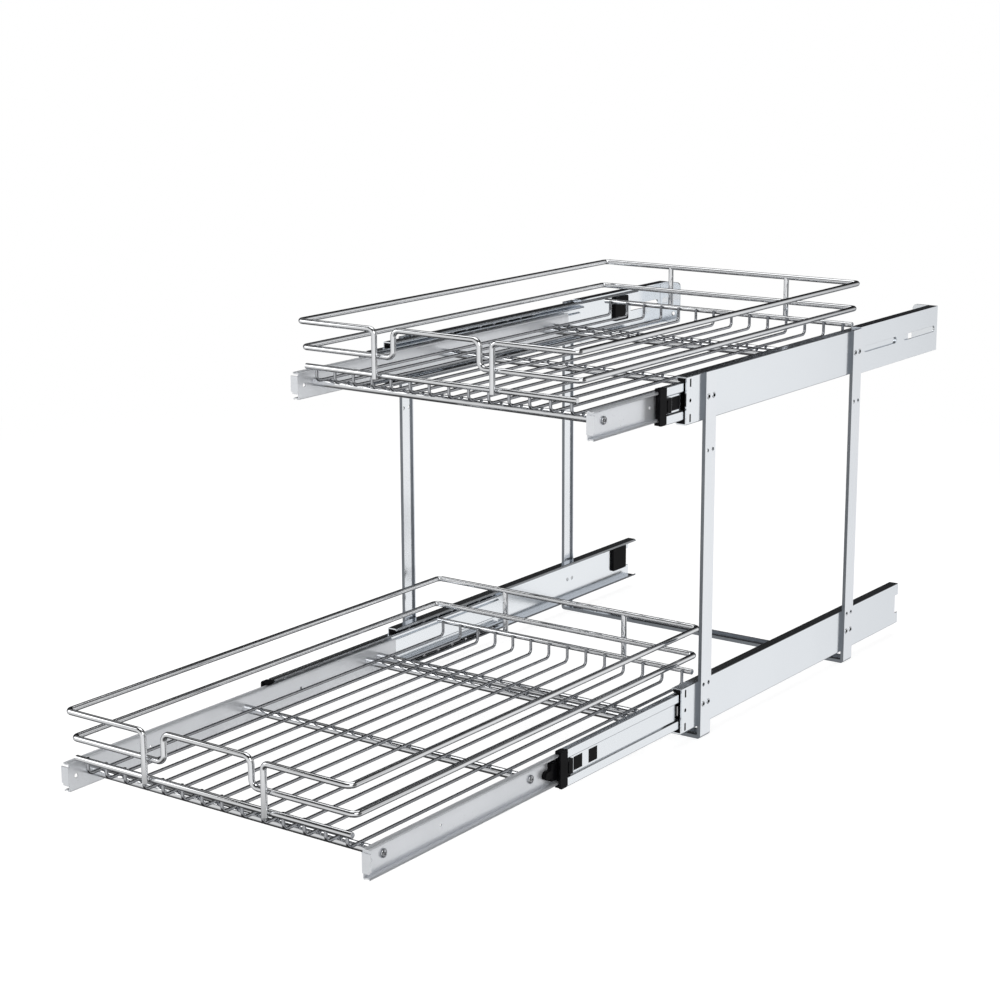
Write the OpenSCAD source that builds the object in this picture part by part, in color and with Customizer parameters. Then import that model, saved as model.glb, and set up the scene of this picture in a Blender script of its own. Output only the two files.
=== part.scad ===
// Two-tier pull-out wire basket organiser for a base cabinet.
// Two hoops of shallow steel channel carry four cabinet rails. Each basket hangs between two
// full-extension ball-bearing slides and pulls forward along -Y.
// Origin: floor level, in the middle of the width and of the overall length as drawn.

/* [Basket] */
// Width of a basket between the centres of its side wires
basket_w = 315; // [240:5:480]
// Length of a basket between the centres of its front and rear top wires
basket_l = 526; // [500:2:560]
// Height from the centres of the floor wires to the centre of the top wire
basket_depth = 57.5; // [46:0.5:90]
// Height of the middle wire under the top wire
mid_drop = 25.6; // [12:0.2:32]
// Height of the front and back bars above the floor wires
bar_rise = 14.1; // [11:0.1:18]
// Diameter of the frame wires
wire_d = 5.5; // [4:0.1:6.5]
// Diameter of the thin floor wires
floor_wire_d = 3; // [2:0.1:4]
// Number of floor wires
floor_wires = 14; // [8:1:18]
// Distance between floor wires
floor_pitch = 22.35; // [10:0.05:24]
// Length of bar that shows beyond each outermost floor wire
bar_overhang = 9.2; // [4:0.1:12]
// Distance between the centres of the two upright front wires
gate_w = 134; // [110:1:180]
// Width of the raised handle between wire centres
handle_w = 98; // [70:1:104]
// Centre radius of the wire corners
corner_r = 5.5; // [4:0.1:9]
// Centre radius of the handle bends
handle_r = 7; // [4.5:0.1:10]
// Centre radius of the turned-up floor wire ends
floor_bend_r = 5; // [2.5:0.1:7]
// Distance between the centres of the two upright rear wires
stay_w = 144; // [60:1:220]
// Length of the upright wires below the bars
upright_tail = 0.4; // [0:0.1:3]

/* [Cross rods] */
// Diameter of the rods that carry a basket between its slides
cross_rod_d = 8; // [6:0.1:9.5]
// Front rod, behind the front wire
front_rod_y = 29; // [24:1:60]
// Middle rod, behind the front wire
middle_rod_y = 232; // [120:1:236]
// First of the two rear rods, behind the front wire
rear_rod_y = 414.7; // [340:0.1:425]
// Distance between the two rear rods
rear_rod_gap = 18.8; // [12:0.1:25]
// Height of the rods above the middle of the slides
rod_lift = 1.2; // [0:0.1:2]
// Thread diameter of the rod screws
rod_screw_d = 4; // [3:0.1:4.5]
// Diameter of the pan heads of the rod screws
screw_head_d = 7.8; // [6:0.1:9]
// Height of the pan heads
screw_head_h = 2.2; // [1.4:0.1:2.6]
// Length of thread inside a rod end
screw_reach = 9; // [5:1:16]

/* [Slides] */
// Length of the cabinet rails
rail_l = 457.2; // [457:0.2:480]
// Height of the cabinet rails
rail_h = 45; // [44:0.1:47]
// Thickness of a closed slide
slide_t = 12.7; // [12.6:0.05:13.6]
// Sheet thickness of the slide members
slide_sheet = 1.2; // [1:0.05:1.3]
// Diameter of the balls between cabinet rail and middle member
outer_ball_d = 4; // [3.6:0.1:4.3]
// Diameter of the balls between middle member and drawer member
inner_ball_d = 3.2; // [3:0.1:3.5]
// Running clearance on each side of a ball
ball_clear = 0.1; // [0.05:0.01:0.15]
// Height of the shoulder that keeps the outer balls on the middle member
race_shoulder = 0.5; // [0.3:0.1:0.8]
// Depth of the ball race formed in the drawer member
drawer_race = 0.8; // [0.5:0.1:1]
// Gap between a side wire of the basket and the drawer member
wire_gap = 4.15; // [2:0.05:8]
// Full travel of a slide
travel = 457; // [440:1:457]
// Distance that the drawer member stands ahead of a closed rail
drawer_ahead = 2.8; // [2:0.1:5]
// Distance that the basket's front wire stands ahead of a closed rail
basket_ahead = 6.8; // [5:0.1:12]
// Length of the drawer member
drawer_l = 457; // [450:1:457]
// Setback of the middle member behind the front of a closed rail
middle_setback = 41.2; // [38:0.2:50]
// Length of the rear stops
stop_l = 28; // [22:0.5:36]
// Height of the rear stops
stop_h = 28; // [20:0.5:30]
// Gap between a rear stop and a closed middle member
stop_gap = 3; // [1:0.5:8]
// Setback of the rear stops from the ends of the rails
stop_inset = 9; // [4:0.5:14]
// Number of balls in a row
balls_per_row = 7; // [4:1:9]
// Thickness of the ball cages
cage_t = 0.5; // [0.4:0.05:0.6]
// End clearance of the ball cages at full travel
cage_end_clear = 4.25; // [2:0.05:12]
// Length of the plastic guides in the front ends of the cabinet rails
guide_l = 9.5; // [9:0.1:12]
// Length of a release lever on a drawer member
lever_l = 18; // [14:0.5:19]
// Height of a release lever's finger
lever_h = 8; // [6:0.1:10]
// Width of the bent front tab of a drawer member
tab_w = 8.8; // [7:0.1:10]
// Height of the bent front tab
tab_h = 17.5; // [12:0.5:18]

/* [Frame] */
// Height of the upper slides above the lower ones
tier_rise = 298.2; // [240:0.2:420]
// Height of the lower rails above the floor
rail_clear = 12.3; // [8:0.1:40]
// Width of the channel that the hoops are bent from
hoop_w = 18.5; // [16:0.1:28]
// Overall depth of that channel
hoop_lip = 3.6; // [3:0.1:6]
// Sheet thickness of the hoops
hoop_sheet = 1.6; // [1.2:0.05:2]
// Outside bend radius at the feet of the hoops
foot_r = 3.5; // [2.4:0.1:6]
// Middle of the front hoop behind the front of the rails
front_hoop_y = 38.5; // [30:0.5:80]
// Middle of the rear hoop behind the front of the rails
rear_hoop_y = 332.5; // [240:0.5:380]
// Height of the posts over the upper rails
post_over = 0.8; // [0:0.1:6]
// Distance between the two holes of a pair in a post
pair_gap = 9.3; // [8:0.1:10]
// Diameter of the open post holes
post_hole_d = 4; // [3:0.1:5]
// Height of the lower open holes above the lower slide centre
low_hole_rise = 19; // [12:0.5:40]
// Distance of the upper open holes below the upper slide centre
high_hole_drop = 51.3; // [30:0.5:80]
// Shank diameter of the rivets
rivet_d = 4; // [3:0.1:4.5]
// Head diameter of the rivets
rivet_head_d = 5.4; // [5:0.1:7]
// Head height of the rivets
rivet_head_h = 0.6; // [0.4:0.1:1.2]
// Diameter of the floor screw holes in the straps
floor_hole_d = 5; // [4:0.1:6]
// Distance between the two floor screw holes of a strap
floor_hole_gap = 280; // [160:2:300]

/* [Rear brackets] */
// Sheet thickness of the sleeves over the upper rails
bracket_sheet = 1.7; // [1.2:0.05:2.5]
// Gap between a rear post and the sleeve
bracket_gap = 0.5; // [0.5:0.5:20]
// Distance that the sleeve reaches behind the rail
bracket_reach = 68.3; // [67:0.5:120]
// Depth of the sleeve's upper and lower flanges around the rail
bracket_wrap = 11; // [6:0.5:11.5]
// Width of the bent-in rear flange
bracket_flange_w = 29.2; // [20:0.2:40]
// Corner radius of the rear flange and the sleeve ends
bracket_corner_r = 5; // [2:0.5:8]
// Height of the adjusting slots
slot_h = 6.5; // [5:0.1:8]
// Length of an adjusting slot
slot_l = 75; // [60:1:80]
// Distance of the first slot from the front of the sleeve
slot_start = 9; // [7:0.5:14]
// Distance between the two slots
slot_bridge = 17.5; // [12:0.5:20]
// Diameter of the flange's two cabinet screw holes
bracket_hole_d = 4.5; // [3.5:0.1:6]
// Distance between those two holes
bracket_hole_gap = 26; // [16:0.5:30]

/* [Pose] */
// How far the lower basket is pulled out
lower_pull = 457; // [0:1:457]
// How far the upper basket is pulled out
upper_pull = 142.8; // [0:0.2:457]

/* [Hidden] */
$fn = 32;

LOWER = 0;
UPPER = 1;
LEFT = -1;
RIGHT = 1;

// Share of a basket's pull that each kind of piece follows.
CABINET_SHARE = 0;
OUTER_CAGE_SHARE = 0.25;
MIDDLE_SHARE = 0.5;
INNER_CAGE_SHARE = 0.75;
DRAWER_SHARE = 1;

cut = 1;             // overshoot of a cutting tool past the face that it cuts
fit = 0.05;          // clearance round a shank and in a coped joint
fold_r = 0.6;        // centre radius of a bend in sheet, in sheet thicknesses
fold_step = 25;      // largest turn of one step in such a bend
wire_r = wire_d / 2;
half_sheet = slide_sheet / 2;

// Slide section, measured from the drawer side (u = 0) and from the middle (v = 0).
slide_x = basket_w / 2 + wire_r + wire_gap;                                // basket side of a slide
rail_inside = rail_h / 2 - slide_sheet;
outer_ball_v = rail_inside - ball_clear - outer_ball_d / 2;
middle_race = outer_ball_v - outer_ball_d / 2 - ball_clear;
inner_ball_v = middle_race - slide_sheet - ball_clear - inner_ball_d / 2;
drawer_race_v = inner_ball_v - inner_ball_d / 2 - ball_clear;
drawer_top = drawer_race_v + drawer_race;
cage_gap = 0.3;                                                            // side clearance of a cage web
outer_cage_u = slide_t - slide_sheet - cage_gap - cage_t / 2;
middle_band_u = outer_cage_u - cage_t / 2 - cage_gap - half_sheet;
middle_web_u = middle_band_u - 2.2;
inner_cage_u = middle_web_u - half_sheet - cage_gap - cage_t / 2;
band_v = 9.6;                                                              // inner edge of a raised band
outer_ball_u = 5.3;
inner_ball_u = 4.4;
window_h = 12.7;                                                           // windows in the middle web
window_l = 14;
window_start = 12;
window_step = 24;
plastic_clear = 0.3;                                                       // round the plastic parts
flange_slope = 1;                                                          // run of a step in a flange

// Retainer on the front of a middle member, and the lever that it meets at full travel.
edge_clear = 0.2;                                                          // ahead of the member's edge
block_l = 9;
block_u = slide_sheet + screw_head_h + 3 * plastic_clear;                  // clear of the screw heads
lever_gap = 0.5;
lever_rear_y = middle_setback + travel * MIDDLE_SHARE - edge_clear - block_l - lever_gap;

// Lengths along a slide. At full travel each cage fills the overlap of its two members.
middle_l = rail_l - middle_setback - stop_gap - stop_l - stop_inset;
outer_overlap = middle_setback + middle_l - travel * MIDDLE_SHARE - guide_l;
inner_overlap = drawer_l - drawer_ahead - travel - (middle_setback - travel * MIDDLE_SHARE);
outer_cage_l = outer_overlap - 2 * cage_end_clear;
inner_cage_l = inner_overlap - 2 * cage_end_clear;
outer_cage_y = guide_l + cage_end_clear + travel * OUTER_CAGE_SHARE;
inner_cage_y = middle_setback - travel * MIDDLE_SHARE + cage_end_clear + travel * INNER_CAGE_SHARE;

// Heights and places of the tiers.
slide_z = rail_clear + rail_h / 2;
floor_wire_z = rod_lift + cross_rod_d / 2 + floor_wire_d / 2;              // above the slide centre
basket_top_z = floor_wire_z + basket_depth;                                // above the slide centre
bar_z = bar_rise - basket_depth;                                           // below the top wire
front_wire_y = -(basket_ahead + lower_pull) - wire_r;                      // front of the lower basket
bracket_front_y = rear_hoop_y + hoop_w / 2 + bracket_gap;
bracket_rear_y = rail_l + bracket_reach;
rail_y = -(front_wire_y + bracket_rear_y) / 2;                             // front of the rails
hoop_half_w = slide_x + slide_t + hoop_lip;
hoop_top = slide_z + tier_rise + rail_h / 2 + post_over;

function pull(tier) = tier == LOWER ? lower_pull : upper_pull;
function unit(v) = v / norm(v);
function heading(path, i) = unit(path[i + 1] - path[i]);
function setback(path, radii, i) =
    i == 0 || i == len(path) - 1 ? 0
    : radii[i - 1] * tan(acos(heading(path, i - 1) * heading(path, i)) / 2);
function mirrored(points) = [for (i = [len(points) - 1 : -1 : 0]) [points[i][0], -points[i][1]]];

// ---- Shared shapes ----

// Round bar between two points.
module rod(from, to, d) {
    step = to - from;
    translate(from)
        rotate([0, acos(step[2] / norm(step)), atan2(step[1], step[0])])
            cylinder(h = norm(step), d = d);
}

// Bend of a round bar at a corner, from the heading before it to the heading after it.
module bend(corner, before, after, d, r) {
    turn = acos(before * after);
    axis = unit(cross(before, after));
    side = cross(axis, before);
    centre = corner - before * r * tan(turn / 2) + side * r;
    multmatrix([
        [-side[0], before[0], axis[0], centre[0]],
        [-side[1], before[1], axis[1], centre[1]],
        [-side[2], before[2], axis[2], centre[2]],
        [0, 0, 0, 1]
    ])
        rotate_extrude(angle = turn)
            translate([r, 0])
                circle(d = d);
}

// Wire bent along a path, with one bend radius for each inner corner.
module bent_wire(path, radii, d) {
    for (i = [0 : len(path) - 2])
        rod(path[i] + heading(path, i) * setback(path, radii, i),
            path[i + 1] - heading(path, i) * setback(path, radii, i + 1), d);
    for (i = [1 : len(path) - 2])
        bend(path[i], heading(path, i - 1), heading(path, i), d, radii[i - 1]);
}

// Points on one side of a folded sheet, with each bend drawn as a few short steps.
function left_of(v) = [-v[1], v[0]];
function turned(v, a) = [v[0] * cos(a) - v[1] * sin(a), v[0] * sin(a) + v[1] * cos(a)];
function fold(before, after) = atan2(cross(before, after), before * after);
function fold_arc(corner, before, turn, r, side) =
    let (steps = ceil(abs(turn) / fold_step),
         centre = corner + r * (sign(turn) * left_of(before) - tan(abs(turn) / 2) * before))
    [for (k = [0 : steps]) centre + (side - sign(turn) * r) * left_of(turned(before, turn * k / steps))];
function fold_side(points, r, side) =
    let (last = len(points) - 1)
    concat(
        [points[0] + side * left_of(heading(points, 0))],
        [for (i = [1 : last - 1])
            each fold_arc(points[i], heading(points, i - 1),
                          fold(heading(points, i - 1), heading(points, i)), r, side)],
        [points[last] + side * left_of(heading(points, last - 1))]
    );
function backward(points) = [for (i = [len(points) - 1 : -1 : 0]) points[i]];

// Section of sheet of thickness t, folded along a line of points.
module folded_sheet(points, t) {
    r = fold_r * t;
    polygon(concat(fold_side(points, r, t / 2), backward(fold_side(points, r, -t / 2))));
}

// Section in X and Z, drawn out along +Y.
module along_y(length) {
    translate([0, length, 0])
        rotate([90, 0, 0])
            linear_extrude(length)
                children();
}

// Section in Y and Z, drawn out along +X.
module along_x(length) {
    rotate([90, 0, 90])
        linear_extrude(length)
            children();
}

module rounded_rect(size, r) {
    translate([r, 0])
        square([size[0] - 2 * r, size[1]]);
    translate([0, r])
        square([size[0], size[1] - 2 * r]);
    for (x = [r, size[0] - r], y = [r, size[1] - r])
        translate([x, y])
            circle(r);
}

module slot_shape(length, height) {
    translate([height / 2, 0])
        square([length - height, height]);
    for (x = [height / 2, length - height / 2])
        translate([x, height / 2])
            circle(d = height);
}

// ---- Frames of reference ----

// Slide frame: x outward from the drawer side, y back from the front of the closed rail.
module in_slide(tier, side, share) {
    translate([0, rail_y - share * pull(tier), slide_z + tier * tier_rise])
        mirror([side == LEFT ? 1 : 0, 0, 0])
            translate([slide_x, 0, 0])
                children();
}

// Basket frame: y back from the front wire, z up from the centre of the top wire.
module in_basket(tier) {
    translate([0, rail_y - basket_ahead - pull(tier), slide_z + tier * tier_rise + basket_top_z])
        children();
}

// ---- Standing frame ----

// Front outline of a hoop, drawn in by an inset, with its two bent feet.
module hoop_outline(inset, top) {
    half_w = hoop_half_w - inset;
    r = max(foot_r - inset, 0);
    translate([-half_w, inset + r])
        square([2 * half_w, top - inset - r]);
    if (r > 0) {
        translate([r - half_w, inset])
            square([2 * (half_w - r), r]);
        for (side = [LEFT, RIGHT])
            translate([side * (half_w - r), inset + r])
                circle(r);
    }
}

// Band of metal that follows a hoop, as thick as depth.
module hoop_band(depth, width) {
    along_y(width)
        difference() {
            hoop_outline(0, hoop_top);
            hoop_outline(depth, hoop_top + cut);
        }
}

module post_holes(z, d) {
    for (side = [LEFT, RIGHT], step = [-1, 1])
        translate([side * (hoop_half_w + cut), step * pair_gap / 2, z])
            rotate([0, -side * 90, 0])
                cylinder(h = hoop_sheet + 2 * cut, d = d);
}

// One shallow channel bent into a left post, a floor strap and a right post.
module hoop(middle_y) {
    color("lightsteelblue")
        translate([0, rail_y + middle_y, 0])
            difference() {
                union() {
                    translate([0, -hoop_w / 2, 0])
                        hoop_band(hoop_sheet, hoop_w);
                    for (y = [-hoop_w / 2, hoop_w / 2 - hoop_sheet])
                        translate([0, y, 0])
                            hoop_band(hoop_lip, hoop_sheet);
                }
                for (tier = [LOWER, UPPER])
                    post_holes(slide_z + tier * tier_rise, rivet_d + 2 * fit);
                post_holes(slide_z + low_hole_rise, post_hole_d);
                post_holes(slide_z + tier_rise - high_hole_drop, post_hole_d);
                for (side = [LEFT, RIGHT])
                    translate([side * floor_hole_gap / 2, 0, -cut])
                        cylinder(h = hoop_sheet + 2 * cut, d = floor_hole_d);
            }
}

// Rivets from the posts into the rail webs, with their inner ends flush.
module rail_rivets() {
    color("silver")
        for (tier = [LOWER, UPPER], side = [LEFT, RIGHT],
             hoop_y = [front_hoop_y, rear_hoop_y], step = [-1, 1])
            in_slide(tier, side, CABINET_SHARE)
                translate([slide_t - slide_sheet, hoop_y + step * pair_gap / 2, 0])
                    rotate([0, 90, 0]) {
                        cylinder(h = slide_sheet + hoop_lip, d = rivet_d);
                        translate([0, 0, slide_sheet + hoop_lip])
                            cylinder(h = rivet_head_h,
                                     d1 = rivet_head_d, d2 = rivet_head_d - 2 * rivet_head_h);
                    }
}

// C sleeve over the rear end of an upper rail, with its flange bent in toward the cabinet's middle.
module rear_bracket(side) {
    length = bracket_rear_y - bracket_front_y;
    half_h = rail_h / 2 + bracket_sheet;
    outside = slide_t + bracket_sheet;
    color("lightsteelblue")
        in_slide(UPPER, side, CABINET_SHARE)
            difference() {
                translate([0, bracket_front_y, 0]) {
                    along_y(length)
                        difference() {
                            translate([outside - bracket_wrap, -half_h])
                                square([bracket_wrap, 2 * half_h]);
                            translate([outside - bracket_wrap - cut, -rail_h / 2])
                                square([bracket_wrap + cut - bracket_sheet, rail_h]);
                        }
                    translate([outside - bracket_flange_w, length - bracket_sheet, -half_h])
                        along_y(bracket_sheet) {
                            rounded_rect([bracket_flange_w, 2 * half_h], bracket_corner_r);
                            translate([bracket_flange_w / 2, 0])
                                square([bracket_flange_w / 2, 2 * half_h]);
                        }
                }
                for (slot = [0, 1])
                    translate([outside - bracket_sheet - cut,
                               bracket_front_y + slot_start + slot * (slot_l + slot_bridge), -slot_h / 2])
                        along_x(bracket_sheet + 2 * cut)
                            slot_shape(slot_l, slot_h);
                for (step = [-1, 1])
                    translate([outside - bracket_flange_w / 2 - bracket_wrap / 2,
                               bracket_rear_y + cut, step * bracket_hole_gap / 2])
                        rotate([90, 0, 0])
                            cylinder(h = bracket_sheet + 2 * cut, d = bracket_hole_d);
            }
}

// Rubber stops at the rear of the rails, outboard of the drawer members.
module rear_stops() {
    lift = 3.2;
    corner = 2;
    inner_u = middle_web_u + half_sheet + plastic_clear;
    color("dimgray")
        for (tier = [LOWER, UPPER], side = [LEFT, RIGHT])
            in_slide(tier, side, CABINET_SHARE)
                translate([inner_u, rail_l - stop_inset - stop_l, lift - stop_h / 2])
                    along_x(slide_t - slide_sheet - inner_u)
                        rounded_rect([stop_l, stop_h], corner);
}

// U-shaped plastic guides round the middle members, seated in the mouths of the cabinet rails.
module rail_front_guides() {
    inner_u = 3.2;
    inner_v = middle_race + race_shoulder + plastic_clear;
    web_u = middle_band_u + half_sheet + plastic_clear;
    chamfer = 0.8;
    upper_half = [
        [web_u, inner_v], [inner_u + chamfer, inner_v], [inner_u, inner_v + chamfer],
        [inner_u, rail_inside], [slide_t - slide_sheet, rail_inside]
    ];
    color("black")
        for (tier = [LOWER, UPPER], side = [LEFT, RIGHT])
            in_slide(tier, side, CABINET_SHARE)
                along_y(guide_l)
                    polygon(concat(mirrored(upper_half), upper_half));
}

// ---- Slide members ----

// Cabinet member: a deep C with small turned lips.
module outer_rail(tier, side) {
    lip = [1.4, 1.6];
    lip_u = 1;
    upper_half = [
        [slide_t - half_sheet, rail_h / 2 - half_sheet],
        [lip_u + lip[0], rail_h / 2 - half_sheet],
        [lip_u, rail_h / 2 - half_sheet - lip[1]]
    ];
    slot = [2.5, 7.5];
    slot_v = 16.5;
    hole_d = 3.5;
    pattern_y = 7;
    notch = [7, 20];
    color("lightsteelblue")
        in_slide(tier, side, CABINET_SHARE)
            difference() {
                along_y(rail_l)
                    folded_sheet(concat(mirrored(upper_half), upper_half), slide_sheet);
                for (y = [front_hoop_y, rear_hoop_y], step = [-1, 1])
                    translate([slide_t - slide_sheet - cut, y + step * pair_gap / 2, 0])
                        rotate([0, 90, 0])
                            cylinder(h = slide_sheet + 2 * cut, d = rivet_d + 2 * fit);
                translate([slide_t - slide_sheet - cut, pattern_y, 0]) {
                    rotate([0, 90, 0])
                        cylinder(h = slide_sheet + 2 * cut, d = hole_d);
                    for (v = [-slot_v, slot_v])
                        translate([0, -slot[0] / 2, v - slot[1] / 2])
                            along_x(slide_sheet + 2 * cut)
                                square(slot);
                }
                if (tier == LOWER)
                    translate([slide_t - slide_sheet - cut, rail_l - notch[0], -notch[1] / 2])
                        cube([slide_sheet + 2 * cut, notch[0] + cut, notch[1]]);
            }
}

// Middle member: raised bands above and below a recessed web, races on both faces of its flanges.
module middle_rail(tier, side) {
    race = middle_race - half_sheet;
    band_slope = 1.3;
    shoulder = 1.4;
    race_end_u = 3.4;
    lip = [1.1, 1.2];
    upper_half = [
        [middle_web_u, band_v - band_slope],
        [middle_band_u, band_v],
        [middle_band_u, race + race_shoulder],
        [middle_band_u - shoulder, race + race_shoulder],
        [middle_band_u - shoulder - flange_slope, race],
        [race_end_u, race],
        [race_end_u - lip[0], race - lip[1]]
    ];
    rear_slot = [2.5, 10];
    color("lightsteelblue")
        in_slide(tier, side, MIDDLE_SHARE)
            translate([0, middle_setback, 0])
                difference() {
                    along_y(middle_l)
                        folded_sheet(concat(mirrored(upper_half), upper_half), slide_sheet);
                    for (i = [0, 1])
                        translate([middle_web_u - cut, window_start + i * window_step, -window_h / 2])
                            cube([2 * cut, window_l, window_h]);
                    translate([middle_web_u - cut, middle_l / 2 - rear_slot[0] / 2, -rear_slot[1] / 2])
                        cube([2 * cut, rear_slot[0], rear_slot[1]]);
                }
}

// Drawer member: a narrow C that carries the basket, its front end turned out into a tab.
module inner_rail(tier, side) {
    crown = 1.3;
    race_end_u = 5.8;
    lip = [1.2, 1];
    upper_half = [
        [half_sheet, drawer_top - half_sheet],
        [half_sheet + crown, drawer_top - half_sheet],
        [half_sheet + crown + flange_slope, drawer_race_v - half_sheet],
        [race_end_u, drawer_race_v - half_sheet],
        [race_end_u + lip[0], drawer_race_v - half_sheet + lip[1]]
    ];
    tab_v = 1.05;
    tab_notch = [1.8, 2];
    hole_y = 13.3;
    hole_d = 4;
    small_hole_places = [105, 312];
    small_hole_d = 2.8;
    color("lightsteelblue")
        in_slide(tier, side, DRAWER_SHARE)
            difference() {
                union() {
                    translate([0, slide_sheet - drawer_ahead, 0])
                        along_y(drawer_l - slide_sheet)
                            folded_sheet(concat(mirrored(upper_half), upper_half), slide_sheet);
                    translate([0, -drawer_ahead, tab_v - tab_h / 2])
                        cube([tab_w, slide_sheet, tab_h]);
                }
                translate([tab_w - tab_notch[0], -drawer_ahead - cut, tab_v - tab_h / 2 - cut])
                    cube([tab_notch[0] + cut, slide_sheet + 2 * cut, tab_notch[1] + cut]);
                for (y = rod_places())
                    translate([-cut, y - basket_ahead, rod_lift])
                        rotate([0, 90, 0])
                            cylinder(h = slide_sheet + 2 * cut, d = rod_screw_d + 4 * fit);
                translate([-cut, hole_y - basket_ahead, 0])
                    rotate([0, 90, 0])
                        cylinder(h = slide_sheet + 2 * cut, d = hole_d);
                for (y = small_hole_places)
                    translate([-cut, y - basket_ahead, 0])
                        rotate([0, 90, 0])
                            cylinder(h = slide_sheet + 2 * cut, d = small_hole_d);
            }
}

// Plastic retainer over the front edge of a middle member: a bumper plate with two lobes, a block
// that runs inside the drawer member, a pierced clip between the raised bands, and the catches
// that fill the two windows.
module front_retainer(tier, side) {
    plate_l = 11;
    lobe_u = 3;
    clip_l = 8.5;
    clip_h = 14;
    clip_eye = [2.6, 10.5];
    clip_bulge_r = 12;
    catch_recess = 0.3;
    inner_u = middle_web_u + half_sheet + plastic_clear;
    outer_u = middle_band_u + half_sheet;
    lobe_v = drawer_top + 2 * plastic_clear;
    block_v = drawer_race_v - slide_sheet - plastic_clear;
    color("black")
        in_slide(tier, side, MIDDLE_SHARE)
            translate([0, middle_setback - edge_clear, 0]) {
                translate([inner_u, -plate_l, -middle_race])
                    along_x(outer_u - inner_u)
                        rounded_rect([plate_l, 2 * middle_race], 2);
                translate([inner_u, 0, 0])
                    along_x(outer_u - inner_u)
                        difference() {
                            translate([-cut, -clip_h / 2])
                                square([clip_l + cut, clip_h]);
                            difference() {
                                translate([edge_clear, -clip_eye[1] / 2])
                                    square(clip_eye);
                                translate([clip_eye[0] + clip_bulge_r - 1, 0])
                                    circle(clip_bulge_r);
                            }
                        }
                for (v = [lobe_v, -middle_race])
                    translate([lobe_u, -block_l, v])
                        along_x(inner_u - lobe_u)
                            rounded_rect([block_l, middle_race - lobe_v], 1);
                translate([block_u, -block_l, -block_v])
                    along_x(inner_u - block_u)
                        rounded_rect([block_l, 2 * block_v], 1.5);
                for (i = [0, 1])
                    translate([middle_web_u - half_sheet,
                               edge_clear + window_start + i * window_step, -window_h / 2])
                        cube([slide_sheet - catch_recess, window_l, window_h]);
            }
}

// Levers on the drawer members, which reach out of the middle members only at full travel.
module release_levers(tier) {
    root = [9, 17];
    finger_v = -1.5;
    top_u = inner_cage_u - cage_t / 2 - plastic_clear;
    color("black")
        for (side = [LEFT, RIGHT])
            in_slide(tier, side, DRAWER_SHARE)
                translate([slide_sheet, lever_rear_y, 0])
                    along_x(top_u - slide_sheet) {
                        translate([-root[0], -root[1] / 2])
                            rounded_rect(root, 1.5);
                        translate([-lever_l, finger_v - lever_h / 2])
                            slot_shape(lever_l, lever_h);
                    }
}

// ---- Ball cages and balls ----

function row(length) = [for (i = [0 : balls_per_row - 1]) (i + 0.5) * length / balls_per_row];

module ball_rows(length, u, v, d) {
    for (y = row(length), side = [-1, 1])
        translate([u, y, side * v])
            sphere(d = d);
}

module ball_pockets(length, u, v, d) {
    for (y = row(length), side = [-1, 1])
        translate([u, y, side * v - d / 2])
            cylinder(h = d, d = d + 2 * ball_clear);
}

module outer_balls(tier, side) {
    color("gainsboro")
        in_slide(tier, side, OUTER_CAGE_SHARE)
            translate([0, outer_cage_y, 0])
                ball_rows(outer_cage_l, outer_ball_u, outer_ball_v, outer_ball_d);
}

module outer_cage(tier, side) {
    tip = 1.7;
    upper_half = [[outer_cage_u, outer_ball_v], [outer_ball_u - tip, outer_ball_v]];
    color("darkgray")
        in_slide(tier, side, OUTER_CAGE_SHARE)
            translate([0, outer_cage_y, 0])
                difference() {
                    along_y(outer_cage_l)
                        folded_sheet(concat(mirrored(upper_half), upper_half), cage_t);
                    ball_pockets(outer_cage_l, outer_ball_u, outer_ball_v, outer_ball_d);
                }
}

module inner_balls(tier, side) {
    color("gainsboro")
        in_slide(tier, side, INNER_CAGE_SHARE)
            translate([0, inner_cage_y, 0])
                ball_rows(inner_cage_l, inner_ball_u, inner_ball_v, inner_ball_d);
}

module inner_cage(tier, side) {
    band_gap = 1.4;
    jog = [0.9, 1.3];
    tip = 1.2;
    upper_half = [
        [inner_cage_u, band_v - jog[0]],
        [middle_band_u - band_gap, band_v + jog[1]],
        [middle_band_u - band_gap, inner_ball_v],
        [inner_ball_u - tip, inner_ball_v]
    ];
    color("darkgray")
        in_slide(tier, side, INNER_CAGE_SHARE)
            translate([0, inner_cage_y, 0])
                difference() {
                    along_y(inner_cage_l)
                        folded_sheet(concat(mirrored(upper_half), upper_half), cage_t);
                    ball_pockets(inner_cage_l, inner_ball_u, inner_ball_v, inner_ball_d);
                }
}

// ---- Basket ----

function rear_rod_places() = [rear_rod_y, rear_rod_y + rear_rod_gap];
function rod_places() = concat([front_rod_y, middle_rod_y], rear_rod_places());
function floor_end_y() = wire_d + wire_r + floor_wire_d / 2;

// Top wire, whose front ends turn down as the uprights beside the handle.
module top_rail(tier) {
    x = basket_w / 2;
    gate_x = gate_w / 2;
    foot = bar_z - wire_r - upright_tail;
    color("whitesmoke")
        in_basket(tier)
            bent_wire([
                [-gate_x, 0, foot], [-gate_x, 0, 0], [-x, 0, 0], [-x, basket_l, 0],
                [x, basket_l, 0], [x, 0, 0], [gate_x, 0, 0], [gate_x, 0, foot]
            ], [for (i = [1 : 6]) corner_r], wire_d);
}

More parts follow.
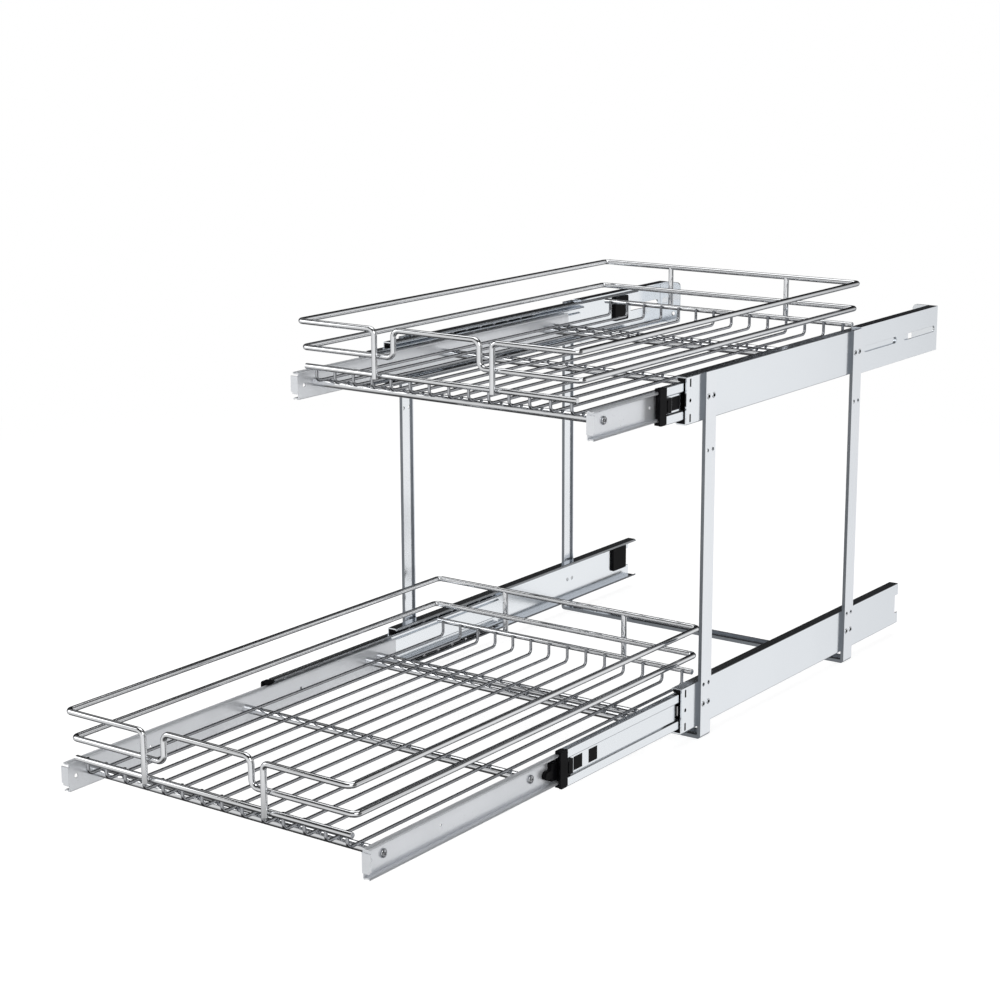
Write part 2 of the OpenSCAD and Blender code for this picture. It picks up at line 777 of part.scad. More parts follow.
// Middle wire, a closed ring that rises at the front into the handle.
module mid_rail(tier) {
    x = basket_w / 2;
    handle_x = handle_w / 2;
    front = wire_d;
    rear = basket_l - wire_d;
    z = -mid_drop;
    color("whitesmoke")
        in_basket(tier)
            bent_wire([
                [0, rear, z], [-x, rear, z], [-x, front, z], [-handle_x, front, z], [-handle_x, front, 0],
                [handle_x, front, 0], [handle_x, front, z], [x, front, z], [x, rear, z], [0, rear, z]
            ], [corner_r, corner_r, handle_r, handle_r, handle_r, handle_r, corner_r, corner_r], wire_d);
}

// Front and back bars, which the ends of the floor wires stand behind.
module bars(tier) {
    half_l = (floor_wires - 1) * floor_pitch / 2 + bar_overhang;
    color("whitesmoke")
        in_basket(tier)
            for (y = [wire_d, basket_l - wire_d])
                rod([-half_l, y, bar_z], [half_l, y, bar_z], wire_d);
}

// Thin wires with both ends turned up behind the bars.
module floor_wires(tier) {
    z = -basket_depth;
    front = floor_end_y();
    rear = basket_l - floor_end_y();
    tip_z = bar_z + 1;
    color("whitesmoke")
        in_basket(tier)
            for (i = [0 : floor_wires - 1]) {
                x = (i - (floor_wires - 1) / 2) * floor_pitch;
                bent_wire([[x, front, tip_z], [x, front, z], [x, rear, z], [x, rear, tip_z]],
                          [floor_bend_r, floor_bend_r], floor_wire_d);
            }
}

// Thick rods under the floor wires, tapped at both ends for the screws of the slides.
module cross_rods(tier, places) {
    color("whitesmoke")
        translate([0, rail_y - basket_ahead - pull(tier), slide_z + tier * tier_rise + rod_lift])
            for (y = places)
                difference() {
                    rod([-slide_x, y, 0], [slide_x, y, 0], cross_rod_d);
                    for (side = [LEFT, RIGHT])
                        rod([side * (slide_x + cut), y, 0], [side * (slide_x - screw_reach - cut), y, 0],
                            rod_screw_d + 2 * fit);
                }
}

// Upright rear wires, coped round the top wire.
module back_stays(tier) {
    color("whitesmoke")
        in_basket(tier)
            difference() {
                for (side = [LEFT, RIGHT])
                    rod([side * stay_w / 2, basket_l, bar_z - wire_r - upright_tail],
                        [side * stay_w / 2, basket_l, 0], wire_d);
                rod([-stay_w, basket_l, 0], [stay_w, basket_l, 0], wire_d + 2 * fit);
            }
}

// Pan-head screws through the drawer members into the rod ends.
module rod_screws(tier) {
    crown = [1.2, 0.8];
    color("silver")
        for (side = [LEFT, RIGHT], y = rod_places())
            in_slide(tier, side, DRAWER_SHARE)
                translate([-screw_reach, y - basket_ahead, rod_lift])
                    rotate([0, 90, 0]) {
                        cylinder(h = screw_reach + slide_sheet, d = rod_screw_d);
                        translate([0, 0, screw_reach + slide_sheet])
                            cylinder(h = screw_head_h - crown[1], d = screw_head_d);
                        translate([0, 0, screw_reach + slide_sheet + screw_head_h - crown[1]])
                            cylinder(h = crown[1], d1 = screw_head_d, d2 = screw_head_d - 2 * crown[0]);
                    }
}

// ---- Assembly ----

hoop(front_hoop_y);  // front_hoop
hoop(rear_hoop_y);  // rear_hoop
outer_rail(LOWER, LEFT);  // lower_left_outer_rail
outer_rail(LOWER, RIGHT);  // lower_right_outer_rail
outer_rail(UPPER, LEFT);  // upper_left_outer_rail
outer_rail(UPPER, RIGHT);  // upper_right_outer_rail
rear_bracket(LEFT);  // left_rear_bracket
rear_bracket(RIGHT);  // right_rear_bracket
rail_rivets();
rail_front_guides();
rear_stops();

top_rail(LOWER);  // lower_top_rail
mid_rail(LOWER);  // lower_mid_rail
bars(LOWER);  // lower_bars
floor_wires(LOWER);  // lower_floor_wires
cross_rods(LOWER, [front_rod_y]);  // lower_front_cross_rod
cross_rods(LOWER, [middle_rod_y]);  // lower_middle_cross_rod
cross_rods(LOWER, rear_rod_places());  // lower_rear_cross_rods
back_stays(LOWER);  // lower_back_stays
inner_rail(LOWER, LEFT);  // lower_left_inner_rail
inner_rail(LOWER, RIGHT);  // lower_right_inner_rail
rod_screws(LOWER);  // lower_rod_screws
release_levers(LOWER);  // lower_release_levers

top_rail(UPPER);  // upper_top_rail
mid_rail(UPPER);  // upper_mid_rail
bars(UPPER);  // upper_bars
floor_wires(UPPER);  // upper_floor_wires
cross_rods(UPPER, [front_rod_y]);  // upper_front_cross_rod
cross_rods(UPPER, [middle_rod_y]);  // upper_middle_cross_rod
cross_rods(UPPER, rear_rod_places());  // upper_rear_cross_rods
back_stays(UPPER);  // upper_back_stays
inner_rail(UPPER, LEFT);  // upper_left_inner_rail
inner_rail(UPPER, RIGHT);  // upper_right_inner_rail
rod_screws(UPPER);  // upper_rod_screws
release_levers(UPPER);  // upper_release_levers

middle_rail(LOWER, LEFT);  // lower_left_middle_rail
front_retainer(LOWER, LEFT);  // lower_left_front_retainer
outer_cage(LOWER, LEFT);  // lower_left_outer_cage
outer_balls(LOWER, LEFT);  // lower_left_outer_balls
inner_cage(LOWER, LEFT);  // lower_left_inner_cage
inner_balls(LOWER, LEFT);  // lower_left_inner_balls
middle_rail(LOWER, RIGHT);  // lower_right_middle_rail
front_retainer(LOWER, RIGHT);  // lower_right_front_retainer
outer_cage(LOWER, RIGHT);  // lower_right_outer_cage
outer_balls(LOWER, RIGHT);  // lower_right_outer_balls
inner_cage(LOWER, RIGHT);  // lower_right_inner_cage
inner_balls(LOWER, RIGHT);  // lower_right_inner_balls

middle_rail(UPPER, LEFT);  // upper_left_middle_rail
front_retainer(UPPER, LEFT);  // upper_left_front_retainer
outer_cage(UPPER, LEFT);  // upper_left_outer_cage
outer_balls(UPPER, LEFT);  // upper_left_outer_balls
inner_cage(UPPER, LEFT);  // upper_left_inner_cage
inner_balls(UPPER, LEFT);  // upper_left_inner_balls
middle_rail(UPPER, RIGHT);  // upper_right_middle_rail
front_retainer(UPPER, RIGHT);  // upper_right_front_retainer
outer_cage(UPPER, RIGHT);  // upper_right_outer_cage
outer_balls(UPPER, RIGHT);  // upper_right_outer_balls
inner_cage(UPPER, RIGHT);  // upper_right_inner_cage
inner_balls(UPPER, RIGHT);  // upper_right_inner_balls
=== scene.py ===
import math
import random

import bmesh
import bpy
from mathutils import Matrix, Vector


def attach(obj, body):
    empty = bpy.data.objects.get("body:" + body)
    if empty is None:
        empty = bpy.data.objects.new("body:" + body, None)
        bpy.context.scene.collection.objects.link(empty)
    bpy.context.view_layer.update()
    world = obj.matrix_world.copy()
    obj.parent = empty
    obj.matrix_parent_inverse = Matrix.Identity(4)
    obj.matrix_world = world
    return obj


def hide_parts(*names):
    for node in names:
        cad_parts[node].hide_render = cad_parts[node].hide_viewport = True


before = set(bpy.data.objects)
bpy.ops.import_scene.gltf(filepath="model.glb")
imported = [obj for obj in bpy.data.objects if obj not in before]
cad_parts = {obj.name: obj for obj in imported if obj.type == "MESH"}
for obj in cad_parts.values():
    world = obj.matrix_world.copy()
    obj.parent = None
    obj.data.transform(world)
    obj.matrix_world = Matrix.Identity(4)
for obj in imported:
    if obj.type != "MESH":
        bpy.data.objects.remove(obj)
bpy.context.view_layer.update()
print("frame loaded")

# Places that the frame shares with every piece, in metres.
part = {
    "railFront": -0.029475,
    "slideX": 0.1644,
    "slideThick": 0.0127,
    "sheet": 0.0012,
    "slideZ": {"lower": 0.0348, "upper": 0.3330},
    "pull": {"lower": 0.4570, "upper": 0.1428},
    "basketAhead": 0.0068,
    "topWireOverSlide": 0.0642,
}
tiers = ("lower", "upper")
sides = {"left": -1, "right": 1}


def deg(angle):
    return math.radians(angle)


def basketFront(tier):
    return part["railFront"] - part["basketAhead"] - part["pull"][tier]


def inScene(name, data):
    obj = bpy.data.objects.new(name, data)
    bpy.context.scene.collection.objects.link(obj)
    return obj


# shader groups

def newGroup(name, inputs, outputs):
    group = bpy.data.node_groups.new(name, "ShaderNodeTree")
    for label, kind, value in inputs:
        socket = group.interface.new_socket(label, in_out="INPUT", socket_type=kind)
        socket.default_value = value
    for label, kind in outputs:
        group.interface.new_socket(label, in_out="OUTPUT", socket_type=kind)
    return group


def addNode(tree, kind, place, **settings):
    node = tree.nodes.new(kind)
    node.location = place
    for key, value in settings.items():
        setattr(node, key, value)
    return node


grainNoise = {"detail": 5.0, "roughness": 0.65, "middle": 0.5}
hazeCloud = {"detail": 4.0, "distortion": 0.6, "clearBelow": 0.38, "fullAbove": 0.66}


def makeGrainGroup():
    # fine lines drawn out along one direction, as rolling and wire drawing leave them
    group = newGroup("drawnGrain", [("Scale", "NodeSocketVector", (900.0, 14.0, 900.0)),
                                    ("Contrast", "NodeSocketFloat", 1.0)],
                     [("Lines", "NodeSocketFloat"), ("Height", "NodeSocketFloat")])
    given = addNode(group, "NodeGroupInput", (-900, 0))
    out = addNode(group, "NodeGroupOutput", (500, 0))
    place = addNode(group, "ShaderNodeTexCoord", (-900, 200))
    stretch = addNode(group, "ShaderNodeVectorMath", (-700, 100), operation="MULTIPLY")
    lines = addNode(group, "ShaderNodeTexNoise", (-500, 100), noise_dimensions="3D")
    lines.inputs["Scale"].default_value = 1.0
    lines.inputs["Detail"].default_value = grainNoise["detail"]
    lines.inputs["Roughness"].default_value = grainNoise["roughness"]
    centred = addNode(group, "ShaderNodeMath", (-300, 0), operation="SUBTRACT")
    centred.inputs[1].default_value = grainNoise["middle"]
    spread = addNode(group, "ShaderNodeMath", (-100, 0), operation="MULTIPLY")
    back = addNode(group, "ShaderNodeMath", (100, 0), operation="ADD", use_clamp=True)
    back.inputs[1].default_value = grainNoise["middle"]
    link = group.links.new
    link(place.outputs["Object"], stretch.inputs[0])
    link(given.outputs["Scale"], stretch.inputs[1])
    link(stretch.outputs[0], lines.inputs["Vector"])
    link(lines.outputs["Fac"], centred.inputs[0])
    link(centred.outputs[0], spread.inputs[0])
    link(given.outputs["Contrast"], spread.inputs[1])
    link(spread.outputs[0], back.inputs[0])
    link(back.outputs[0], out.inputs["Lines"])
    link(lines.outputs["Fac"], out.inputs["Height"])
    return group


def makeHazeGroup():
    # soft cloudy patches of haze and handling over bright metal and moulded parts
    group = newGroup("handlingHaze", [("Size", "NodeSocketFloat", 18.0),
                                      ("Low", "NodeSocketFloat", 0.1),
                                      ("High", "NodeSocketFloat", 0.3)],
                     [("Value", "NodeSocketFloat"), ("Mask", "NodeSocketFloat")])
    given = addNode(group, "NodeGroupInput", (-900, 0))
    out = addNode(group, "NodeGroupOutput", (500, 0))
    place = addNode(group, "ShaderNodeTexCoord", (-900, 200))
    cloud = addNode(group, "ShaderNodeTexNoise", (-600, 120), noise_dimensions="3D")
    cloud.inputs["Detail"].default_value = hazeCloud["detail"]
    cloud.inputs["Distortion"].default_value = hazeCloud["distortion"]
    mask = addNode(group, "ShaderNodeMapRange", (-350, 100), interpolation_type="SMOOTHSTEP")
    mask.inputs["From Min"].default_value = hazeCloud["clearBelow"]
    mask.inputs["From Max"].default_value = hazeCloud["fullAbove"]
    value = addNode(group, "ShaderNodeMapRange", (-100, 0))
    link = group.links.new
    link(place.outputs["Object"], cloud.inputs["Vector"])
    link(given.outputs["Size"], cloud.inputs["Scale"])
    link(cloud.outputs["Fac"], mask.inputs["Value"])
    link(mask.outputs["Result"], value.inputs["Value"])
    link(given.outputs["Low"], value.inputs["To Min"])
    link(given.outputs["High"], value.inputs["To Max"])
    link(value.outputs["Result"], out.inputs["Value"])
    link(mask.outputs["Result"], out.inputs["Mask"])
    return group


grainGroup = makeGrainGroup()
hazeGroup = makeHazeGroup()


def placeGroup(tree, group, place, **values):
    node = addNode(tree, "ShaderNodeGroup", place, node_tree=group)
    for key, value in values.items():
        node.inputs[key].default_value = value
    return node


def newMaterial(name):
    material = bpy.data.materials.new(name)
    material.use_nodes = True
    tree = material.node_tree
    return material, tree, tree.nodes["Principled BSDF"]


def addHaze(tree, look):
    return placeGroup(tree, hazeGroup, (-900, 0), Size=look["hazeSize"],
                      Low=look["roughLow"], High=look["roughHigh"])


def addColours(tree, look, factor):
    colour = addNode(tree, "ShaderNodeMix", (-500, 350), data_type="RGBA")
    colour.inputs["A"].default_value = (*look["dark"], 1.0)
    colour.inputs["B"].default_value = (*look["light"], 1.0)
    tree.links.new(factor, colour.inputs["Factor"])
    return colour.outputs["Result"]


def addBump(tree, look, height, shader):
    bump = addNode(tree, "ShaderNodeBump", (-300, -250))
    bump.inputs["Strength"].default_value = look["bump"]
    bump.inputs["Distance"].default_value = look["bumpDepth"]
    tree.links.new(height, bump.inputs["Height"])
    tree.links.new(bump.outputs["Normal"], shader.inputs["Normal"])


hollowShade = (0.012, 0.012, 0.013)   # painted shade: the near-black colour of faces inside recesses and dimples


def metalMaterial(name, look):
    material, tree, shader = newMaterial(name)
    link = tree.links.new
    shader.inputs["Metallic"].default_value = look["metallic"]
    shader.inputs["Specular Tint"].default_value = (*look["edgeTint"], 1.0)
    grain = placeGroup(tree, grainGroup, (-900, 300),
                       Scale=look["grainScale"], Contrast=look["grainContrast"])
    haze = addHaze(tree, look)
    hollow = addNode(tree, "ShaderNodeAttribute", (-500, 600), attribute_name="hollow")
    # faces marked hollow are mixed to near-black: painted shade in recesses
    paintedShade = addNode(tree, "ShaderNodeMix", (-250, 450), data_type="RGBA")
    paintedShade.inputs["B"].default_value = (*hollowShade, 1.0)
    link(hollow.outputs["Fac"], paintedShade.inputs["Factor"])
    link(addColours(tree, look, grain.outputs["Lines"]), paintedShade.inputs["A"])
    link(paintedShade.outputs["Result"], shader.inputs["Base Color"])
    rough = addNode(tree, "ShaderNodeMath", (-500, 50), operation="MULTIPLY_ADD", use_clamp=True)
    rough.inputs[1].default_value = look["grainRough"]
    link(grain.outputs["Lines"], rough.inputs[0])
    link(haze.outputs["Value"], rough.inputs[2])
    link(rough.outputs[0], shader.inputs["Roughness"])
    addBump(tree, look, grain.outputs["Height"], shader)
    return material


metalLooks = {
    "chromeWire": {"metallic": 1.0, "edgeTint": (0.45, 0.46, 0.48), "dark": (0.72, 0.73, 0.75),
                   "light": (0.83, 0.84, 0.85), "grainScale": (420.0, 420.0, 420.0), "grainContrast": 0.5,
                   "hazeSize": 16.0, "roughLow": 0.04, "roughHigh": 0.07, "grainRough": 0.02,
                   "bump": 0.03, "bumpDepth": 0.00003},
    "drawnWire": {"metallic": 1.0, "edgeTint": (0.35, 0.36, 0.38), "dark": (0.36, 0.37, 0.39),
                  "light": (0.48, 0.49, 0.51), "grainScale": (900.0, 60.0, 900.0), "grainContrast": 1.0,
                  "hazeSize": 16.0, "roughLow": 0.10, "roughHigh": 0.18, "grainRough": 0.04,
                  "bump": 0.10, "bumpDepth": 0.00003},
    "platedSteel": {"metallic": 1.0, "edgeTint": (0.62, 0.64, 0.68), "dark": (0.85, 0.88, 0.91),
                    "light": (0.92, 0.95, 0.98), "grainScale": (620.0, 480.0, 620.0), "grainContrast": 1.3,
                    "hazeSize": 9.0, "roughLow": 0.15, "roughHigh": 0.18, "grainRough": 0.05,
                    "bump": 0.15, "bumpDepth": 0.00003},
    "drawerSteel": {"metallic": 0.55, "edgeTint": (0.55, 0.57, 0.61), "dark": (0.84, 0.86, 0.89),
                    "light": (0.90, 0.92, 0.95), "grainScale": (620.0, 480.0, 620.0), "grainContrast": 1.3,
                    "hazeSize": 9.0, "roughLow": 0.26, "roughHigh": 0.31, "grainRough": 0.05,
                    "bump": 0.15, "bumpDepth": 0.00003},
    "platedHoop": {"metallic": 1.0, "edgeTint": (0.62, 0.64, 0.68), "dark": (0.85, 0.88, 0.91),
                   "light": (0.93, 0.95, 0.98), "grainScale": (560.0, 620.0, 480.0), "grainContrast": 1.3,
                   "hazeSize": 9.0, "roughLow": 0.15, "roughHigh": 0.18, "grainRough": 0.05,
                   "bump": 0.15, "bumpDepth": 0.00003},
    # painted shade: a dark finish for the hoops' front-facing lips, darker on that side for how the light
    # falls
    "hoopLipShade": {"metallic": 1.0, "edgeTint": (0.4, 0.42, 0.45), "dark": (0.17, 0.18, 0.20),
                "light": (0.26, 0.28, 0.30), "grainScale": (560.0, 620.0, 60.0), "grainContrast": 1.3,
                "hazeSize": 9.0, "roughLow": 0.28, "roughHigh": 0.36, "grainRough": 0.06,
                "bump": 0.2, "bumpDepth": 0.00003},
    # painted shade: a dark finish for the rounded edges of pressed parts
    "shadedEdge": {"metallic": 1.0, "edgeTint": (0.2, 0.21, 0.23), "dark": (0.10, 0.105, 0.11),
                      "light": (0.20, 0.205, 0.21), "grainScale": (500.0, 60.0, 500.0),
                      "grainContrast": 1.0, "hazeSize": 30.0, "roughLow": 0.12, "roughHigh": 0.2,
                      "grainRough": 0.04, "bump": 0.1, "bumpDepth": 0.00003},
    "screwSteel": {"metallic": 1.0, "edgeTint": (0.4, 0.4, 0.42), "dark": (0.36, 0.37, 0.39),
                   "light": (0.58, 0.59, 0.61), "grainScale": (600.0, 600.0, 600.0), "grainContrast": 1.2,
                   "hazeSize": 60.0, "roughLow": 0.14, "roughHigh": 0.24, "grainRough": 0.06,
                   "bump": 0.2, "bumpDepth": 0.00004},
    "cageSteel": {"metallic": 1.0, "edgeTint": (0.5, 0.5, 0.5), "dark": (0.36, 0.37, 0.39),
                  "light": (0.56, 0.57, 0.58), "grainScale": (900.0, 12.0, 900.0), "grainContrast": 1.2,
                  "hazeSize": 20.0, "roughLow": 0.25, "roughHigh": 0.38, "grainRough": 0.06,
                  "bump": 0.2, "bumpDepth": 0.00004},
    "ballSteel": {"metallic": 1.0, "edgeTint": (0.6, 0.6, 0.6), "dark": (0.62, 0.62, 0.64),
                  "light": (0.82, 0.82, 0.84), "grainScale": (500.0, 500.0, 500.0), "grainContrast": 0.5,
                  "hazeSize": 80.0, "roughLow": 0.06, "roughHigh": 0.16, "grainRough": 0.03,
                  "bump": 0.05, "bumpDepth": 0.00003},
}
materials = {name: metalMaterial(name, look) for name, look in metalLooks.items()}


def mouldedMaterial(name, look):
    material, tree, shader = newMaterial(name)
    link = tree.links.new
    haze = addHaze(tree, look)
    place = addNode(tree, "ShaderNodeTexCoord", (-1100, 350))
    pits = addNode(tree, "ShaderNodeTexNoise", (-900, 350))
    pits.inputs["Scale"].default_value = look["pitScale"]
    pits.inputs["Detail"].default_value = look["pitDetail"]
    shader.inputs["Specular IOR Level"].default_value = look["gloss"]
    link(place.outputs["Object"], pits.inputs["Vector"])
    link(addColours(tree, look, haze.outputs["Mask"]), shader.inputs["Base Color"])
    link(haze.outputs["Value"], shader.inputs["Roughness"])
    addBump(tree, look, pits.outputs["Fac"], shader)
    return material


mouldedLook = {"dark": (0.004, 0.004, 0.005), "light": (0.009, 0.009, 0.010), "hazeSize": 90.0,
               "roughLow": 0.30, "roughHigh": 0.42, "gloss": 0.04, "pitScale": 2600.0,
               "pitDetail": 3.0, "bump": 0.35, "bumpDepth": 0.00006}
materials["blackPlastic"] = mouldedMaterial("blackPlastic", mouldedLook)
print("materials made")


# helpers for pieces

def finishPiece(mesh, name, body, replaced=()):
    piece = inScene(name, mesh)
    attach(piece, body)
    if replaced:
        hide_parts(*replaced)
    return piece


def newTree(name, inputs):
    tree = bpy.data.node_groups.new(name, "GeometryNodeTree")
    tree.interface.new_socket("Geometry", in_out="INPUT", socket_type="NodeSocketGeometry")
    for label, kind in inputs:
        tree.interface.new_socket(label, in_out="INPUT", socket_type=kind)
    tree.interface.new_socket("Geometry", in_out="OUTPUT", socket_type="NodeSocketGeometry")
    return tree


def evaluatedMesh(obj, name):
    graph = bpy.context.evaluated_depsgraph_get()
    mesh = bpy.data.meshes.new_from_object(obj.evaluated_get(graph), depsgraph=graph)
    mesh.name = name
    return mesh


def runTree(tree, baseMesh, values, meshName):
    # sets the tree's inputs by identifier, evaluates it, and gives back a plain mesh
    carrier = inScene("carrier", baseMesh)
    modifier = carrier.modifiers.new("tree", "NODES")
    modifier.node_group = tree
    for item in tree.interface.items_tree:
        if item.item_type == "SOCKET" and item.in_out == "INPUT" and item.name in values:
            modifier[item.identifier] = values[item.name]
    carrier.update_tag()
    bpy.context.view_layer.update()
    mesh = evaluatedMesh(carrier, meshName)
    carrier.modifiers.remove(modifier)
    bpy.data.objects.remove(carrier)
    return mesh


tubeLook = {"sides": 24, "rodSides": 32, "bendSteps": 10,
            "softEnd": 0.0005, "softEndTurns": (0, 30, 60, 90),
            "combSides": 16, "combBendSteps": 7, "combSharpTurn": 40}


def makeCombTree():
    # repeats one bent wire side by side
    tree = newTree("wireComb", [("Count", "NodeSocketInt"), ("Pitch", "NodeSocketFloat"),
                                ("Radius", "NodeSocketFloat"), ("Bend", "NodeSocketFloat"),
                                ("Material", "NodeSocketMaterial")])
    given = addNode(tree, "NodeGroupInput", (-900, 0))
    out = addNode(tree, "NodeGroupOutput", (1300, 0))
    path = addNode(tree, "GeometryNodeMeshToCurve", (-650, 200))
    fillet = addNode(tree, "GeometryNodeFilletCurve", (-450, 200), mode="POLY")
    fillet.inputs["Count"].default_value = tubeLook["combBendSteps"]
    ring = addNode(tree, "GeometryNodeCurvePrimitiveCircle", (-450, -100))
    ring.inputs["Resolution"].default_value = tubeLook["combSides"]
    tube = addNode(tree, "GeometryNodeCurveToMesh", (-250, 200))
    tube.inputs["Fill Caps"].default_value = True
    offset = addNode(tree, "ShaderNodeCombineXYZ", (-450, -300))
    row = addNode(tree, "GeometryNodeMeshLine", (-250, -200), mode="OFFSET")
    copies = addNode(tree, "GeometryNodeInstanceOnPoints", (0, 0))
    real = addNode(tree, "GeometryNodeRealizeInstances", (250, 0))
    smooth = addNode(tree, "GeometryNodeSetShadeSmooth", (500, 0))
    paint = addNode(tree, "GeometryNodeSetMaterial", (750, 0))
    link = tree.links.new
    link(given.outputs["Geometry"], path.inputs[0])
    link(path.outputs[0], fillet.inputs["Curve"])
    link(given.outputs["Bend"], fillet.inputs["Radius"])
    link(fillet.outputs[0], tube.inputs["Curve"])
    link(given.outputs["Radius"], ring.inputs["Radius"])
    link(ring.outputs[0], tube.inputs["Profile Curve"])
    link(given.outputs["Pitch"], offset.inputs["X"])
    link(given.outputs["Count"], row.inputs["Count"])
    link(offset.outputs[0], row.inputs["Offset"])
    link(row.outputs[0], copies.inputs["Points"])
    link(tube.outputs[0], copies.inputs["Instance"])
    link(copies.outputs[0], real.inputs[0])
    link(real.outputs[0], smooth.inputs[0])
    link(smooth.outputs[0], paint.inputs["Geometry"])
    link(given.outputs["Material"], paint.inputs["Material"])
    link(paint.outputs[0], out.inputs[0])
    return tree


def makePlacingTree():
    # sets one small part on every point, turned by the point's own "turn" and varied a little in size
    tree = newTree("placeParts", [("Part", "NodeSocketObject"), ("Smallest", "NodeSocketFloat"),
                                  ("Largest", "NodeSocketFloat"), ("Seed", "NodeSocketInt"),
                                  ("Material", "NodeSocketMaterial")])
    given = addNode(tree, "NodeGroupInput", (-900, 0))
    out = addNode(tree, "NodeGroupOutput", (900, 0))
    shape = addNode(tree, "GeometryNodeObjectInfo", (-600, -200))
    turn = addNode(tree, "GeometryNodeInputNamedAttribute", (-600, 250), data_type="FLOAT_VECTOR")
    turn.inputs["Name"].default_value = "turn"
    spin = addNode(tree, "FunctionNodeEulerToRotation", (-400, 250))
    size = addNode(tree, "FunctionNodeRandomValue", (-400, 50), data_type="FLOAT")
    copies = addNode(tree, "GeometryNodeInstanceOnPoints", (-100, 0))
    real = addNode(tree, "GeometryNodeRealizeInstances", (200, 0))
    paint = addNode(tree, "GeometryNodeSetMaterial", (500, 0))
    link = tree.links.new
    link(given.outputs["Geometry"], copies.inputs["Points"])
    link(given.outputs["Part"], shape.inputs["Object"])
    link(shape.outputs["Geometry"], copies.inputs["Instance"])
    link(turn.outputs["Attribute"], spin.inputs[0])
    link(spin.outputs[0], copies.inputs["Rotation"])
    link(given.outputs["Smallest"], size.inputs[2])
    link(given.outputs["Largest"], size.inputs[3])
    link(given.outputs["Seed"], size.inputs["Seed"])
    link(size.outputs[1], copies.inputs["Scale"])
    link(copies.outputs[0], real.inputs[0])
    link(real.outputs[0], paint.inputs["Geometry"])
    link(given.outputs["Material"], paint.inputs["Material"])
    link(paint.outputs[0], out.inputs[0])
    return tree


combTree = makeCombTree()
placingTree = makePlacingTree()


def pointMesh(name, places, turns):
    mesh = bpy.data.meshes.new(name)
    mesh.from_pydata([tuple(p) for p in places], [], [])
    attribute = mesh.attributes.new("turn", "FLOAT_VECTOR", "POINT")
    attribute.data.foreach_set("vector", [value for turn in turns for value in turn])
    return mesh


def placeParts(name, partMesh, places, turns, material, body, replaced=(), spread=(1.0, 1.0), seed=1):
    smallPart = inScene("smallPart", partMesh)
    mesh = runTree(placingTree, pointMesh(name + "Points", places, turns),
                   {"Part": smallPart, "Smallest": spread[0], "Largest": spread[1], "Seed": seed,
                    "Material": material}, name)
    bpy.data.objects.remove(smallPart)
    finishPiece(mesh, name, body, replaced)


def cornerArc(corner, before, after, radius):
    turn = before.angle(after)
    axis = before.cross(after).normalized()
    side = axis.cross(before)
    centre = corner - before * radius * math.tan(turn / 2) + side * radius
    steps = tubeLook["bendSteps"]
    return [centre + Matrix.Rotation(turn * k / steps, 3, axis) @ (-side * radius)
            for k in range(steps + 1)]


def roundedPath(points, radii):
    points = [Vector(p) for p in points]
    path = [points[0]]
    for i, radius in enumerate(radii, start=1):
        before = (points[i] - points[i - 1]).normalized()
        after = (points[i + 1] - points[i]).normalized()
        path += cornerArc(points[i], before, after, radius)
    return path + [points[-1]]


def tubeMesh(name, path, radius, material, closed=False, sides=tubeLook["sides"]):
    # sweeps a ring along the path without twist; open ends are closed with a softened edge
    bm = bmesh.new()
    headings = []
    for i in range(len(path)):
        before = path[i] - path[i - 1] if (i > 0 or closed) else path[1] - path[0]
        after = path[(i + 1) % len(path)] - path[i] if (i < len(path) - 1 or closed) else before
        headings.append((before.normalized() + after.normalized()).normalized())
    out = headings[0].orthogonal().normalized()
    stations = []
    for i, heading in enumerate(headings):
        if i:
            out = headings[i - 1].rotation_difference(heading) @ out
        out = (out - heading * out.dot(heading)).normalized()
        stations.append((path[i], heading, out, radius))
    if not closed:
        softEnd = tubeLook["softEnd"]
        for index, way in ((-1, 1), (0, -1)):
            point, heading, side, full = stations[index]
            extra = [(point - heading * way * softEnd * (1 - math.sin(deg(a))), heading, side,
                      full - softEnd * (1 - math.cos(deg(a)))) for a in tubeLook["softEndTurns"]]
            stations = extra[::-1] + stations[1:] if way < 0 else stations[:-1] + extra
    rings = []
    for point, heading, side, ringRadius in stations:
        up = heading.cross(side)
        rings.append([bm.verts.new(point + (side * math.cos(a) + up * math.sin(a)) * ringRadius)
                      for a in (2 * math.pi * k / sides for k in range(sides))])
    for first, second in zip(rings, rings[1:] + rings[:1] if closed else rings[1:]):
        for k in range(sides):
            face = bm.faces.new((first[k], first[(k + 1) % sides], second[(k + 1) % sides], second[k]))
            face.smooth = True
    if not closed:
        bm.faces.new(rings[0][::-1])
        bm.faces.new(rings[-1])
    bmesh.ops.recalc_face_normals(bm, faces=bm.faces)
    mesh = bpy.data.meshes.new(name)
    bm.to_mesh(mesh)
    bm.free()
    mesh.materials.append(material)
    return mesh


def joinMeshes(name, meshes):
    bm = bmesh.new()
    for mesh in meshes:
        bm.from_mesh(mesh)
    joined = bpy.data.meshes.new(name)
    bm.to_mesh(joined)
    bm.free()
    for material in meshes[0].materials:
        joined.materials.append(material)
    return joined


edgeLook = {"mergeGap": 2e-6, "flatTurn": 0.6, "sharpTurn": 35, "flatWeight": 100, "flatGap": 0.0001,
            "sheetSegments": 2, "mouldedSegments": 3}


